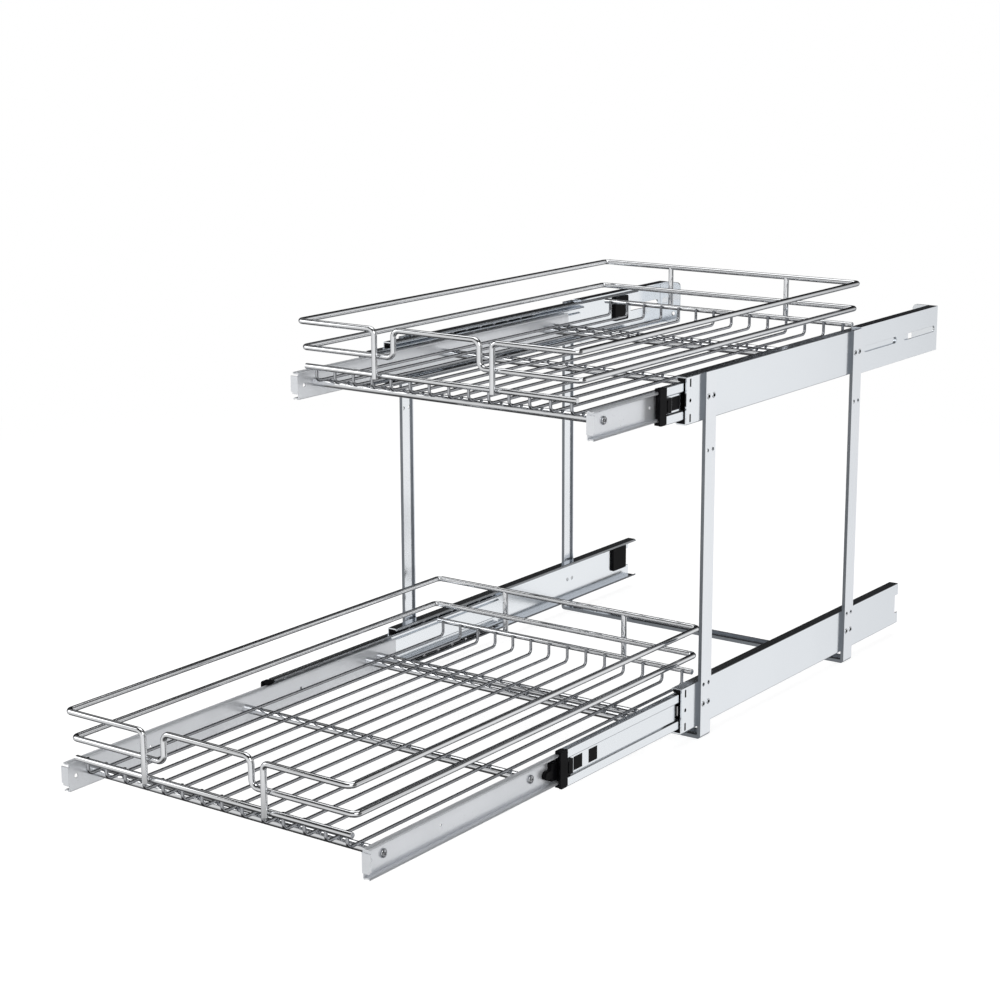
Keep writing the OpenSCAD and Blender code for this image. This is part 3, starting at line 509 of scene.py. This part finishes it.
def softEdged(mesh, name, width, segments, edgeMaterial=False):
    # merged copy of a sharp mesh with its edges rounded, so that they catch the light
    bm = bmesh.new()
    bm.from_mesh(mesh)
    bmesh.ops.remove_doubles(bm, verts=bm.verts, dist=edgeLook["mergeGap"])
    bmesh.ops.dissolve_limit(bm, angle_limit=deg(edgeLook["flatTurn"]), verts=bm.verts, edges=bm.edges)
    for face in bm.faces:
        face.smooth = True
    clean = bpy.data.meshes.new(name + "Clean")
    bm.to_mesh(clean)
    bm.free()
    for material in mesh.materials:
        clean.materials.append(material)
    carrier = inScene("carrier", clean)
    bevel = carrier.modifiers.new("edges", "BEVEL")
    bevel.width = width
    bevel.segments = segments
    bevel.limit_method = "ANGLE"
    bevel.angle_limit = deg(edgeLook["sharpTurn"])
    if edgeMaterial:
        bevel.material = 1   # the mesh's second finish, which on pressed parts is the painted edge shade
    flats = carrier.modifiers.new("flats", "WEIGHTED_NORMAL")   # broad faces stay flat beside bends
    flats.weight = edgeLook["flatWeight"]
    flats.thresh = edgeLook["flatGap"]
    bpy.context.view_layer.update()
    result = evaluatedMesh(carrier, name)
    bpy.data.objects.remove(carrier)
    return result


def recoated(node, *coats):
    # a copy of a node's mesh with new finishes, all of it in the first one
    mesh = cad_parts[node].data.copy()
    mesh.materials.clear()
    for coat in coats:
        mesh.materials.append(coat)
    for face in mesh.polygons:
        face.material_index = 0
    return mesh


# wire baskets

basketLook = {
    "width": 0.315, "length": 0.526, "wire": 0.0055, "midDrop": 0.0256, "depth": 0.0575,
    "barRise": 0.0141, "gate": 0.134, "handle": 0.098, "cornerBend": 0.0055, "handleBend": 0.007,
    "uprightTail": 0.0004, "stay": 0.144, "barOverhang": 0.0092,
    "floorWire": 0.003, "floorCount": 14, "floorPitch": 0.02235, "floorBend": 0.005, "floorTip": 0.001,
    "rods": (0.029, 0.232, 0.4147, 0.4335), "rodWire": 0.008, "rodLift": 0.0012,
}
weldLook = {
    "floor": {"size": (0.0010, 0.0012, 0.0004), "spread": (0.85, 1.1), "seed": 3},
    "frame": {"size": (0.0020, 0.0022, 0.0009), "spread": (0.9, 1.05), "seed": 5},
    "rounds": 2, "swell": 0.04, "skinSeed": 7,
}


def nuggetMesh(name, size):
    # a small squeezed weld, wider than it is thick, with an uneven skin
    bm = bmesh.new()
    bmesh.ops.create_icosphere(bm, subdivisions=weldLook["rounds"], radius=1.0)
    draw = random.Random(weldLook["skinSeed"])
    for vert in bm.verts:
        swell = 1 + draw.uniform(-weldLook["swell"], weldLook["swell"])
        vert.co = Vector((vert.co.x * size[0], vert.co.y * size[1], vert.co.z * size[2])) * swell
    for face in bm.faces:
        face.smooth = True
    mesh = bpy.data.meshes.new(name)
    bm.to_mesh(mesh)
    bm.free()
    return mesh


def makeBasket(tier):
    look = basketLook
    body = tier + "_basket"
    chrome = materials["chromeWire"]
    origin = Vector((0, basketFront(tier), part["slideZ"][tier] + part["topWireOverSlide"]))
    halfW, length, wire = look["width"] / 2, look["length"], look["wire"]
    wireR, thin = wire / 2, look["floorWire"]
    barZ = look["barRise"] - look["depth"]
    foot = barZ - wireR - look["uprightTail"]
    gate, grip, mid = look["gate"] / 2, look["handle"] / 2, -look["midDrop"]

    def bentWire(name, points, radii, replaced, closed=False):
        path = roundedPath(points, radii)
        if closed:
            path = path[:-1]
        mesh = tubeMesh(name, [origin + p for p in path], wireR, chrome, closed)
        finishPiece(mesh, name, body, [replaced])

    bentWire(tier + "TopWire",
             [(-gate, 0, foot), (-gate, 0, 0), (-halfW, 0, 0), (-halfW, length, 0),
              (halfW, length, 0), (halfW, 0, 0), (gate, 0, 0), (gate, 0, foot)],
             [look["cornerBend"]] * 6, tier + "_top_rail")
    front, rear = wire, length - wire
    bentWire(tier + "MiddleWire",
             [(0, rear, mid), (-halfW, rear, mid), (-halfW, front, mid), (-grip, front, mid),
              (-grip, front, 0), (grip, front, 0), (grip, front, mid), (halfW, front, mid),
              (halfW, rear, mid), (0, rear, mid)],
             [look["cornerBend"]] * 2 + [look["handleBend"]] * 4 + [look["cornerBend"]] * 2,
             tier + "_mid_rail", closed=True)
    combHalf = (look["floorCount"] - 1) * look["floorPitch"] / 2
    barHalf = combHalf + look["barOverhang"]
    bars = [tubeMesh("bar", [origin + Vector((x, y, barZ)) for x in (-barHalf, 0, barHalf)], wireR, chrome)
            for y in (front, rear)]
    finishPiece(joinMeshes(tier + "Bars", bars), tier + "Bars", body, [tier + "_bars"])

    # thin floor wires, turned up behind both bars
    endY = wire + wireR + thin / 2
    floorZ, tipZ = -look["depth"], barZ + look["floorTip"]
    line = [(-combHalf, endY, tipZ), (-combHalf, endY, floorZ),
            (-combHalf, length - endY, floorZ), (-combHalf, length - endY, tipZ)]
    base = bpy.data.meshes.new("floorWirePath")
    base.from_pydata([tuple(origin + Vector(p)) for p in line], [(0, 1), (1, 2), (2, 3)], [])
    mesh = runTree(combTree, base, {"Count": look["floorCount"], "Pitch": look["floorPitch"],
                                    "Radius": thin / 2, "Bend": look["floorBend"],
                                    "Material": materials["drawnWire"]},
                   tier + "FloorWires")
    mesh.set_sharp_from_angle(angle=deg(tubeLook["combSharpTurn"]))
    finishPiece(mesh, tier + "FloorWires", body, [tier + "_floor_wires"])

    # cross rods and rear uprights
    rodZ = part["slideZ"][tier] + look["rodLift"] - origin.z
    reach = part["slideX"]
    groups = (("FrontRod", look["rods"][:1], "_front_cross_rod"),
              ("MiddleRod", look["rods"][1:2], "_middle_cross_rod"),
              ("RearRods", look["rods"][2:], "_rear_cross_rods"))
    for label, places, node in groups:
        meshes = [tubeMesh("rod", [origin + Vector((x, y, rodZ)) for x in (-reach, 0, reach)],
                           look["rodWire"] / 2, chrome, sides=tubeLook["rodSides"]) for y in places]
        finishPiece(joinMeshes(tier + label, meshes), tier + label, body, [tier + node])
    stays = [tubeMesh("stay", [origin + Vector((side * look["stay"] / 2, length, z))
                               for z in (foot, barZ, 0)], wireR, chrome) for side in (-1, 1)]
    finishPiece(joinMeshes(tier + "BackStays", stays), tier + "BackStays", body,
                [tier + "_back_stays"])

    # welds wherever two wires meet
    places, turns = [], []
    for i in range(look["floorCount"]):
        x = -combHalf + i * look["floorPitch"]
        for y in look["rods"]:
            places.append((x, y, floorZ - thin / 2))
            turns.append((0, 0, 0))
        for y in (front + wireR, rear - wireR):
            places.append((x, y, barZ))
            turns.append((math.pi / 2, 0, 0))
    weld = weldLook["floor"]
    placeParts(tier + "FloorWelds", nuggetMesh("floorWeld", weld["size"]),
               [origin + Vector(p) for p in places], turns, materials["drawnWire"], body,
               spread=weld["spread"], seed=weld["seed"])
    places = [(side * gate, wireR, z) for side in (-1, 1) for z in (mid, barZ)]
    places += [(side * look["stay"] / 2, length - wireR, z) for side in (-1, 1) for z in (mid, barZ)]
    turns = [(math.pi / 2, 0, 0)] * len(places)
    places += [(side * look["stay"] / 2, length, -wireR) for side in (-1, 1)]
    turns += [(0, 0, 0)] * 2
    weld = weldLook["frame"]
    placeParts(tier + "FrameWelds", nuggetMesh("frameWeld", weld["size"]),
               [origin + Vector(p) for p in places], turns, chrome, body,
               spread=weld["spread"], seed=weld["seed"])


for tier in tiers:
    makeBasket(tier)
print("baskets made")


# screws and rivets

def revolve(name, profile, sides):
    # profile of (radius, height) pairs turned about Z, closed where the radius is zero
    bm = bmesh.new()
    rings = []
    for radius, height in profile:
        if radius:
            rings.append([bm.verts.new((radius * math.cos(a), radius * math.sin(a), height))
                          for a in (2 * math.pi * k / sides for k in range(sides))])
        else:
            rings.append([bm.verts.new((0, 0, height))])
    for low, high in zip(rings, rings[1:]):
        for k in range(sides):
            n = (k + 1) % sides
            if len(low) == 1:
                bm.faces.new((low[0], high[n], high[k]))
            elif len(high) == 1:
                bm.faces.new((low[k], low[n], high[0]))
            else:
                bm.faces.new((low[k], low[n], high[n], high[k]))
    bmesh.ops.recalc_face_normals(bm, faces=bm.faces)
    mesh = bpy.data.meshes.new(name)
    bm.to_mesh(mesh)
    bm.free()
    return mesh


def shadeWithSharps(mesh, sharpTurn):
    for face in mesh.polygons:
        face.use_smooth = True
    mesh.set_sharp_from_angle(angle=deg(sharpTurn))


def markHollow(mesh, isHollow):
    # a face value that the metal reads as painted shade, near-black
    values = [float(isHollow(face.center)) for face in mesh.polygons]
    mesh.attributes.new("hollow", "FLOAT", "FACE").data.foreach_set("value", values)


screwLook = {
    "head": 0.0078, "headHeight": 0.0022, "thread": 0.004, "reach": 0.009, "edge": 0.00035,
    "tipIn": 0.0004, "tipLength": 0.0006,
    "crown": ((0.0, 0.42), (0.0003, 0.66), (0.0010, 0.86), (0.0020, 0.97)),   # inward, share of height
    "recess": 0.0044, "recessWide": 0.0009, "recessDeep": 0.0016, "recessOver": 0.0006,
    "recessTaper": 0.45, "armKeep": 0.6, "shadeShare": 0.95, "shadeMargin": 0.0001,
    "sides": 32, "sharpTurn": 32, "firstTurn": 35, "turnStep": 50,
}


def crossCutter(look):
    # a four-armed driver recess that narrows with depth
    bm = bmesh.new()
    for turn in (0, 90):
        spin = Matrix.Rotation(deg(turn), 4, "Z")
        half, wide = look["recess"] / 2, look["recessWide"] / 2
        keep = look["armKeep"]
        corners = []
        for z, share in ((-look["recessDeep"], look["recessTaper"]), (look["recessOver"], 1.0)):
            across = wide * (keep + (1 - keep) * share)
            corners.append([bm.verts.new(spin @ Vector((x * half * share, y * across, z)))
                            for x, y in ((-1, -1), (1, -1), (1, 1), (-1, 1))])
        bm.faces.new(corners[0][::-1])
        bm.faces.new(corners[1])
        for k in range(4):
            n = (k + 1) % 4
            bm.faces.new((corners[0][k], corners[0][n], corners[1][n], corners[1][k]))
    mesh = bpy.data.meshes.new("crossCutter")
    bm.to_mesh(mesh)
    bm.free()
    return mesh


def screwMesh(look):
    r, h, edge = look["head"] / 2, look["headHeight"], look["edge"]
    shank, tip = look["thread"] / 2, -look["reach"]
    profile = [(0, tip), (shank - look["tipIn"], tip), (shank, tip + look["tipLength"]), (shank, 0),
               (r - edge, 0), (r, edge)]
    profile += [(r - inward, h * share) for inward, share in look["crown"]] + [(0, h)]
    body = inScene("screwBody", revolve("screwHead", profile, look["sides"]))
    cutter = inScene("screwCutter", crossCutter(look))
    cutter.location.z = h
    carve = body.modifiers.new("recess", "BOOLEAN")
    carve.operation = "DIFFERENCE"
    carve.solver = "EXACT"
    carve.use_self = True
    carve.object = cutter
    bpy.context.view_layer.update()
    mesh = evaluatedMesh(body, "screw")
    bpy.data.objects.remove(body)
    bpy.data.objects.remove(cutter)
    shadeWithSharps(mesh, look["sharpTurn"])
    # faces inside the driver recess get painted shade
    paintedShade = look["recess"] / 2 + look["shadeMargin"]
    markHollow(mesh, lambda c: 0 < c.z < h * look["shadeShare"] and math.hypot(c.x, c.y) < paintedShade)
    return mesh


screw = screwMesh(screwLook)
for tier in tiers:
    places, turns = [], []
    for side in sides.values():
        for i, y in enumerate(basketLook["rods"]):
            places.append((side * (part["slideX"] + part["sheet"]), basketFront(tier) + y,
                           part["slideZ"][tier] + basketLook["rodLift"]))
            # the screw stands along +Z: point it outward along X, then spin it about its own axis
            spin = Matrix.Rotation(deg(screwLook["firstTurn"] + screwLook["turnStep"] * i), 3, "X")
            turns.append(tuple((spin @ Matrix.Rotation(deg(90 * side), 3, "Y")).to_euler()))
    placeParts(tier + "RodScrews", screw, places, turns, materials["screwSteel"], tier + "_basket",
               [tier + "_rod_screws"])

rivetLook = {
    "shank": 0.004, "shankSoft": 0.0002, "length": 0.0048, "head": 0.0054, "headHeight": 0.0006,
    "crown": ((0.0, 0.0), (0.0, 0.35), (0.0003, 0.8), (0.0007, 1.0)),   # inward, share of height
    "dimple": 0.0032, "dimpleDeep": 0.0007, "dimpleSoft": 0.0001, "dimpleWall": 0.7, "dimpleCone": 1.3,
    "sides": 20, "sharpTurn": 50, "shadeAbove": 0.003, "pairGap": 0.0093, "hoopBack": (0.0385, 0.3325),
}


def rivetMesh(look):
    # z = 0 is the flush inner end; the formed head stands at the far end with a round dimple
    top, high, r, shank = look["length"], look["headHeight"], look["head"] / 2, look["shank"] / 2
    dish, rim, soft = look["dimple"] / 2, top + high, look["dimpleSoft"]
    profile = [(0, look["shankSoft"] / 2), (shank - look["shankSoft"], 0), (shank, look["shankSoft"]),
               (shank, top)]
    profile += [(r - inward, top + high * share) for inward, share in look["crown"]]
    profile += [(dish + soft, rim), (dish - soft, top + high * look["dimpleWall"]),
                (dish - 2 * soft, rim - look["dimpleDeep"]),
                (0, rim - look["dimpleDeep"] * look["dimpleCone"])]
    mesh = revolve("rivet", profile, look["sides"])
    shadeWithSharps(mesh, look["sharpTurn"])
    # faces inside the dimple get painted shade
    markHollow(mesh, lambda c: c.z > look["shadeAbove"] and math.hypot(c.x, c.y) < dish)
    return mesh


places, turns = [], []
for tier in tiers:
    for side in sides.values():
        for back in rivetLook["hoopBack"]:
            for step in (-1, 1):
                places.append((side * (part["slideX"] + part["slideThick"] - part["sheet"]),
                               part["railFront"] + back + step * rivetLook["pairGap"] / 2,
                               part["slideZ"][tier]))
                turns.append((0, deg(90 * side), 0))
placeParts("railRivets", rivetMesh(rivetLook), places, turns, materials["platedHoop"], "frame",
           ["rail_rivets"])
print("screws and rivets made")


# pressed steel parts

sheetLook = {"rail": 0.0004, "hoop": 0.00045, "bracket": 0.00045, "lipFacing": -0.9}


def dressSheet(node, body, coat, width):
    # a pressed part keeps its own shape and gets rounded edges, painted dark as edge shade
    source = recoated(node, materials[coat], materials["shadedEdge"])
    mesh = softEdged(source, node + "Dressed", width, edgeLook["sheetSegments"], edgeMaterial=True)
    return finishPiece(mesh, node + "Dressed", body, [node])


for node in ("front_hoop", "rear_hoop"):
    hoop = dressSheet(node, "frame", "platedHoop", sheetLook["hoop"])
    # faces turned to the front take the dark lip finish: painted shade on that one side
    hoop.data.materials.append(materials["hoopLipShade"])
    for face in hoop.data.polygons:
        if face.normal.y < sheetLook["lipFacing"]:
            face.material_index = 2
for side in sides:
    dressSheet(side + "_rear_bracket", "frame", "platedSteel", sheetLook["bracket"])
    for tier in tiers:
        key = f"{tier}_{side}"
        dressSheet(key + "_outer_rail", "frame", "platedSteel", sheetLook["rail"])
        dressSheet(key + "_inner_rail", tier + "_basket", "drawerSteel", sheetLook["rail"])
        dressSheet(key + "_middle_rail", key + "_middle_member", "platedSteel", sheetLook["rail"])
print("pressed parts made")

# moulded parts, with the soft edges of their tool
mouldedEdge = {"rail_front_guides": 0.0002, "rear_stops": 0.0006, "release_levers": 0.0006,
               "front_retainer": 0.0004}


def dressMoulding(node, body):
    width = next(value for ending, value in mouldedEdge.items() if node.endswith(ending))
    mesh = softEdged(recoated(node, materials["blackPlastic"]), node + "Dressed", width,
                     edgeLook["mouldedSegments"])
    finishPiece(mesh, node + "Dressed", body, [node])


for node in ("rail_front_guides", "rear_stops"):
    dressMoulding(node, "frame")
for tier in tiers:
    dressMoulding(tier + "_release_levers", tier + "_basket")
    for side in sides:
        dressMoulding(f"{tier}_{side}_front_retainer", f"{tier}_{side}_middle_member")
print("moulded parts made")


# nodes that keep their own mesh

nodeMaterials = {"outer_cage": "cageSteel", "inner_cage": "cageSteel", "outer_balls": "ballSteel",
                 "inner_balls": "ballSteel"}
for name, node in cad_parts.items():
    for ending, look in nodeMaterials.items():
        if name.endswith(ending):
            node.data.materials.clear()
            node.data.materials.append(materials[look])
print("carried-over nodes painted")


# camera, floor and lights

cameraLook = {"place": (1.2174, -1.7558, 0.7191), "turn": (76.619, 0.203, 35.878),
              "lens": 80.568, "sensor": 36.0, "farthest": 60.0}
camera = inScene("camera", bpy.data.cameras.new("camera"))
camera.location = cameraLook["place"]
camera.rotation_euler = [deg(a) for a in cameraLook["turn"]]
camera.data.lens = cameraLook["lens"]
camera.data.sensor_width = cameraLook["sensor"]
camera.data.clip_end = cameraLook["farthest"]
bpy.context.scene.camera = camera

stageLook = {"floorHalf": 12.0, "floorZ": -0.0002, "floorShade": 0.94, "shadowShare": 0.5,
             "floorLift": 0.80, "fadeFrom": 0.75, "fadeTo": 1.7}
skyLook = {
    "dark": 0.03, "bright": 1.2, "below": 0.04,
    "back": (-0.588, 0.809, 0.0), "backEdge": (0.70, 0.42),
    "backFoot": (0.02, -0.16), "backFootShade": 0.75,
    "leftEdge": (0.1, -0.5), "leftShade": 0.83,
    "topEdge": (0.70, 0.15), "lowEdge": (-0.78, -0.36),
    "gap": (0.978, 0.208, 0.0), "gapEdge": (0.80, 0.93), "gapShade": 0.12,
    "strip": (-0.60, 0.38, 0.70), "stripEdge": (0.93, 0.985), "stripShade": 0.35,
}


def makeFloor(look):
    # matt near the object, where it keeps the shadow, and plain white further out
    mesh = bpy.data.meshes.new("floor")
    half = look["floorHalf"]
    mesh.from_pydata([(-half, -half, 0), (half, -half, 0), (half, half, 0), (-half, half, 0)], [],
                     [(0, 1, 2, 3)])
    floor = inScene("floor", mesh)
    floor.location.z = look["floorZ"]
    floor.visible_glossy = False
    material = bpy.data.materials.new("paleFloor")
    material.use_nodes = True
    tree = material.node_tree
    tree.nodes.clear()
    link = tree.links.new
    out = addNode(tree, "ShaderNodeOutputMaterial", (600, 0))
    matt = addNode(tree, "ShaderNodeBsdfDiffuse", (-300, 300))
    matt.inputs["Color"].default_value = (look["floorShade"],) * 3 + (1.0,)
    soft = addNode(tree, "ShaderNodeBsdfDiffuse", (-300, 150))
    soft.inputs["Color"].default_value = (look["shadowShare"],) * 3 + (1.0,)
    lift = addNode(tree, "ShaderNodeEmission", (-300, 0))
    lift.inputs["Strength"].default_value = look["floorLift"]
    lifted = addNode(tree, "ShaderNodeAddShader", (-100, 100))
    rays = addNode(tree, "ShaderNodeLightPath", (-300, 700))
    near = addNode(tree, "ShaderNodeMixShader", (100, 250))
    glow = addNode(tree, "ShaderNodeEmission", (0, -100))
    place = addNode(tree, "ShaderNodeTexCoord", (-700, -100))
    reach = addNode(tree, "ShaderNodeVectorMath", (-500, -100), operation="LENGTH")
    fade = addNode(tree, "ShaderNodeMapRange", (-300, -100), interpolation_type="SMOOTHSTEP")
    fade.inputs["From Min"].default_value = look["fadeFrom"]
    fade.inputs["From Max"].default_value = look["fadeTo"]
    mix = addNode(tree, "ShaderNodeMixShader", (300, 0))
    link(place.outputs["Object"], reach.inputs[0])
    link(reach.outputs["Value"], fade.inputs["Value"])
    link(fade.outputs["Result"], mix.inputs[0])
    link(soft.outputs[0], lifted.inputs[0])
    link(lift.outputs[0], lifted.inputs[1])
    link(rays.outputs["Is Camera Ray"], near.inputs[0])
    link(matt.outputs[0], near.inputs[1])
    link(lifted.outputs[0], near.inputs[2])
    link(near.outputs[0], mix.inputs[1])
    link(glow.outputs[0], mix.inputs[2])
    link(mix.outputs[0], out.inputs["Surface"])
    mesh.materials.append(material)


def smoothBand(tree, source, start, end, place):
    band = addNode(tree, "ShaderNodeMapRange", place, interpolation_type="SMOOTHSTEP")
    band.inputs["From Min"].default_value = start
    band.inputs["From Max"].default_value = end
    tree.links.new(source, band.inputs["Value"])
    return band.outputs["Result"]


def makeWorld(look):
    # white to the camera; metal sees a low white board all round, a little greyer on the left and cut
    # by a dark gap on the right; it is dark above, below and at the back left down to the horizon,
    # apart from one soft strip high up on the left
    world = bpy.data.worlds.new("studio")
    bpy.context.scene.world = world
    world.use_nodes = True
    tree = world.node_tree
    tree.nodes.clear()
    link = tree.links.new
    out = addNode(tree, "ShaderNodeOutputWorld", (1300, 0))
    place = addNode(tree, "ShaderNodeTexCoord", (-900, 0))
    split = addNode(tree, "ShaderNodeSeparateXYZ", (-700, 0))
    link(place.outputs["Generated"], split.inputs[0])

    def toward(direction, spot):
        dot = addNode(tree, "ShaderNodeVectorMath", spot, operation="DOT_PRODUCT")
        link(place.outputs["Generated"], dot.inputs[0])
        dot.inputs[1].default_value = direction
        return dot.outputs["Value"]

    def combine(operation, first, second, spot):
        node = addNode(tree, "ShaderNodeMath", spot, operation=operation)
        link(first, node.inputs[0])
        link(second, node.inputs[1])
        return node.outputs[0]

    def scaled(source, low, high, spot):
        node = addNode(tree, "ShaderNodeMapRange", spot)
        link(source, node.inputs["Value"])
        node.inputs["To Min"].default_value = low
        node.inputs["To Max"].default_value = high
        return node.outputs["Result"]

    notBack = smoothBand(tree, toward(look["back"], (-650, 400)), *look["backEdge"], (-450, 400))
    backFoot = scaled(smoothBand(tree, split.outputs["Z"], *look["backFoot"], (-450, 600)),
                      0.0, look["backFootShade"], (-250, 600))
    notBack = combine("MAXIMUM", notBack, backFoot, (-100, 500))
    notHigh = smoothBand(tree, split.outputs["Z"], *look["topEdge"], (-450, 200))
    notLow = scaled(smoothBand(tree, split.outputs["Z"], *look["lowEdge"], (-450, 0)),
                    look["below"], 1.0, (-250, 0))
    gap = scaled(smoothBand(tree, toward(look["gap"], (-650, -200)), *look["gapEdge"], (-450, -200)),
                 1.0, look["gapShade"], (-250, -200))
    left = scaled(smoothBand(tree, split.outputs["X"], *look["leftEdge"], (-450, 800)),
                  1.0, look["leftShade"], (-250, 800))
    strip = smoothBand(tree, toward(look["strip"], (-650, -400)), *look["stripEdge"], (-450, -400))
    strip = scaled(strip, 0.0, look["stripShade"], (-250, -400))
    board = combine("MULTIPLY", notBack, notHigh, (0, 300))
    board = combine("MULTIPLY", board, notLow, (150, 200))
    board = combine("MULTIPLY", board, gap, (300, 100))
    board = combine("MULTIPLY", board, left, (300, 300))
    level = combine("ADD", scaled(board, look["dark"], look["bright"], (450, 100)), strip, (650, 0))
    sky = addNode(tree, "ShaderNodeBackground", (850, 100))
    plain = addNode(tree, "ShaderNodeBackground", (850, -100))
    plain.inputs["Color"].default_value = (1.0, 1.0, 1.0, 1.0)
    rays = addNode(tree, "ShaderNodeLightPath", (850, 400))
    mix = addNode(tree, "ShaderNodeMixShader", (1100, 0))
    link(level, sky.inputs["Strength"])
    link(rays.outputs["Is Camera Ray"], mix.inputs[0])
    link(sky.outputs[0], mix.inputs[1])
    link(plain.outputs[0], mix.inputs[2])
    link(mix.outputs[0], out.inputs["Surface"])


lampLook = {
    "keyLamp": {"place": (1.9, -1.2, 1.7), "target": (0, 0, 0.15), "size": (1.6, 1.2), "watts": 16},
    "topLamp": {"place": (-0.3, 0.2, 2.4), "target": (0, 0, 0.1), "size": (2.2, 2.2), "watts": 26},
    "fillLamp": {"place": (-2.0, -1.4, 1.2), "target": (0, 0, 0.15), "size": (1.2, 1.2), "watts": 8},
}


def makeLamp(name, look):
    lamp = bpy.data.lights.new(name, "AREA")
    lamp.shape = "RECTANGLE"
    lamp.size, lamp.size_y = look["size"]
    lamp.energy = look["watts"]
    obj = inScene(name, lamp)
    obj.location = look["place"]
    aim = Vector(look["target"]) - Vector(look["place"])
    obj.rotation_euler = aim.to_track_quat("-Z", "Y").to_euler()


makeFloor(stageLook)
makeWorld(skyLook)
for name, look in lampLook.items():
    makeLamp(name, look)
bpy.context.scene.view_settings.view_transform = "Standard"
print("stage set")
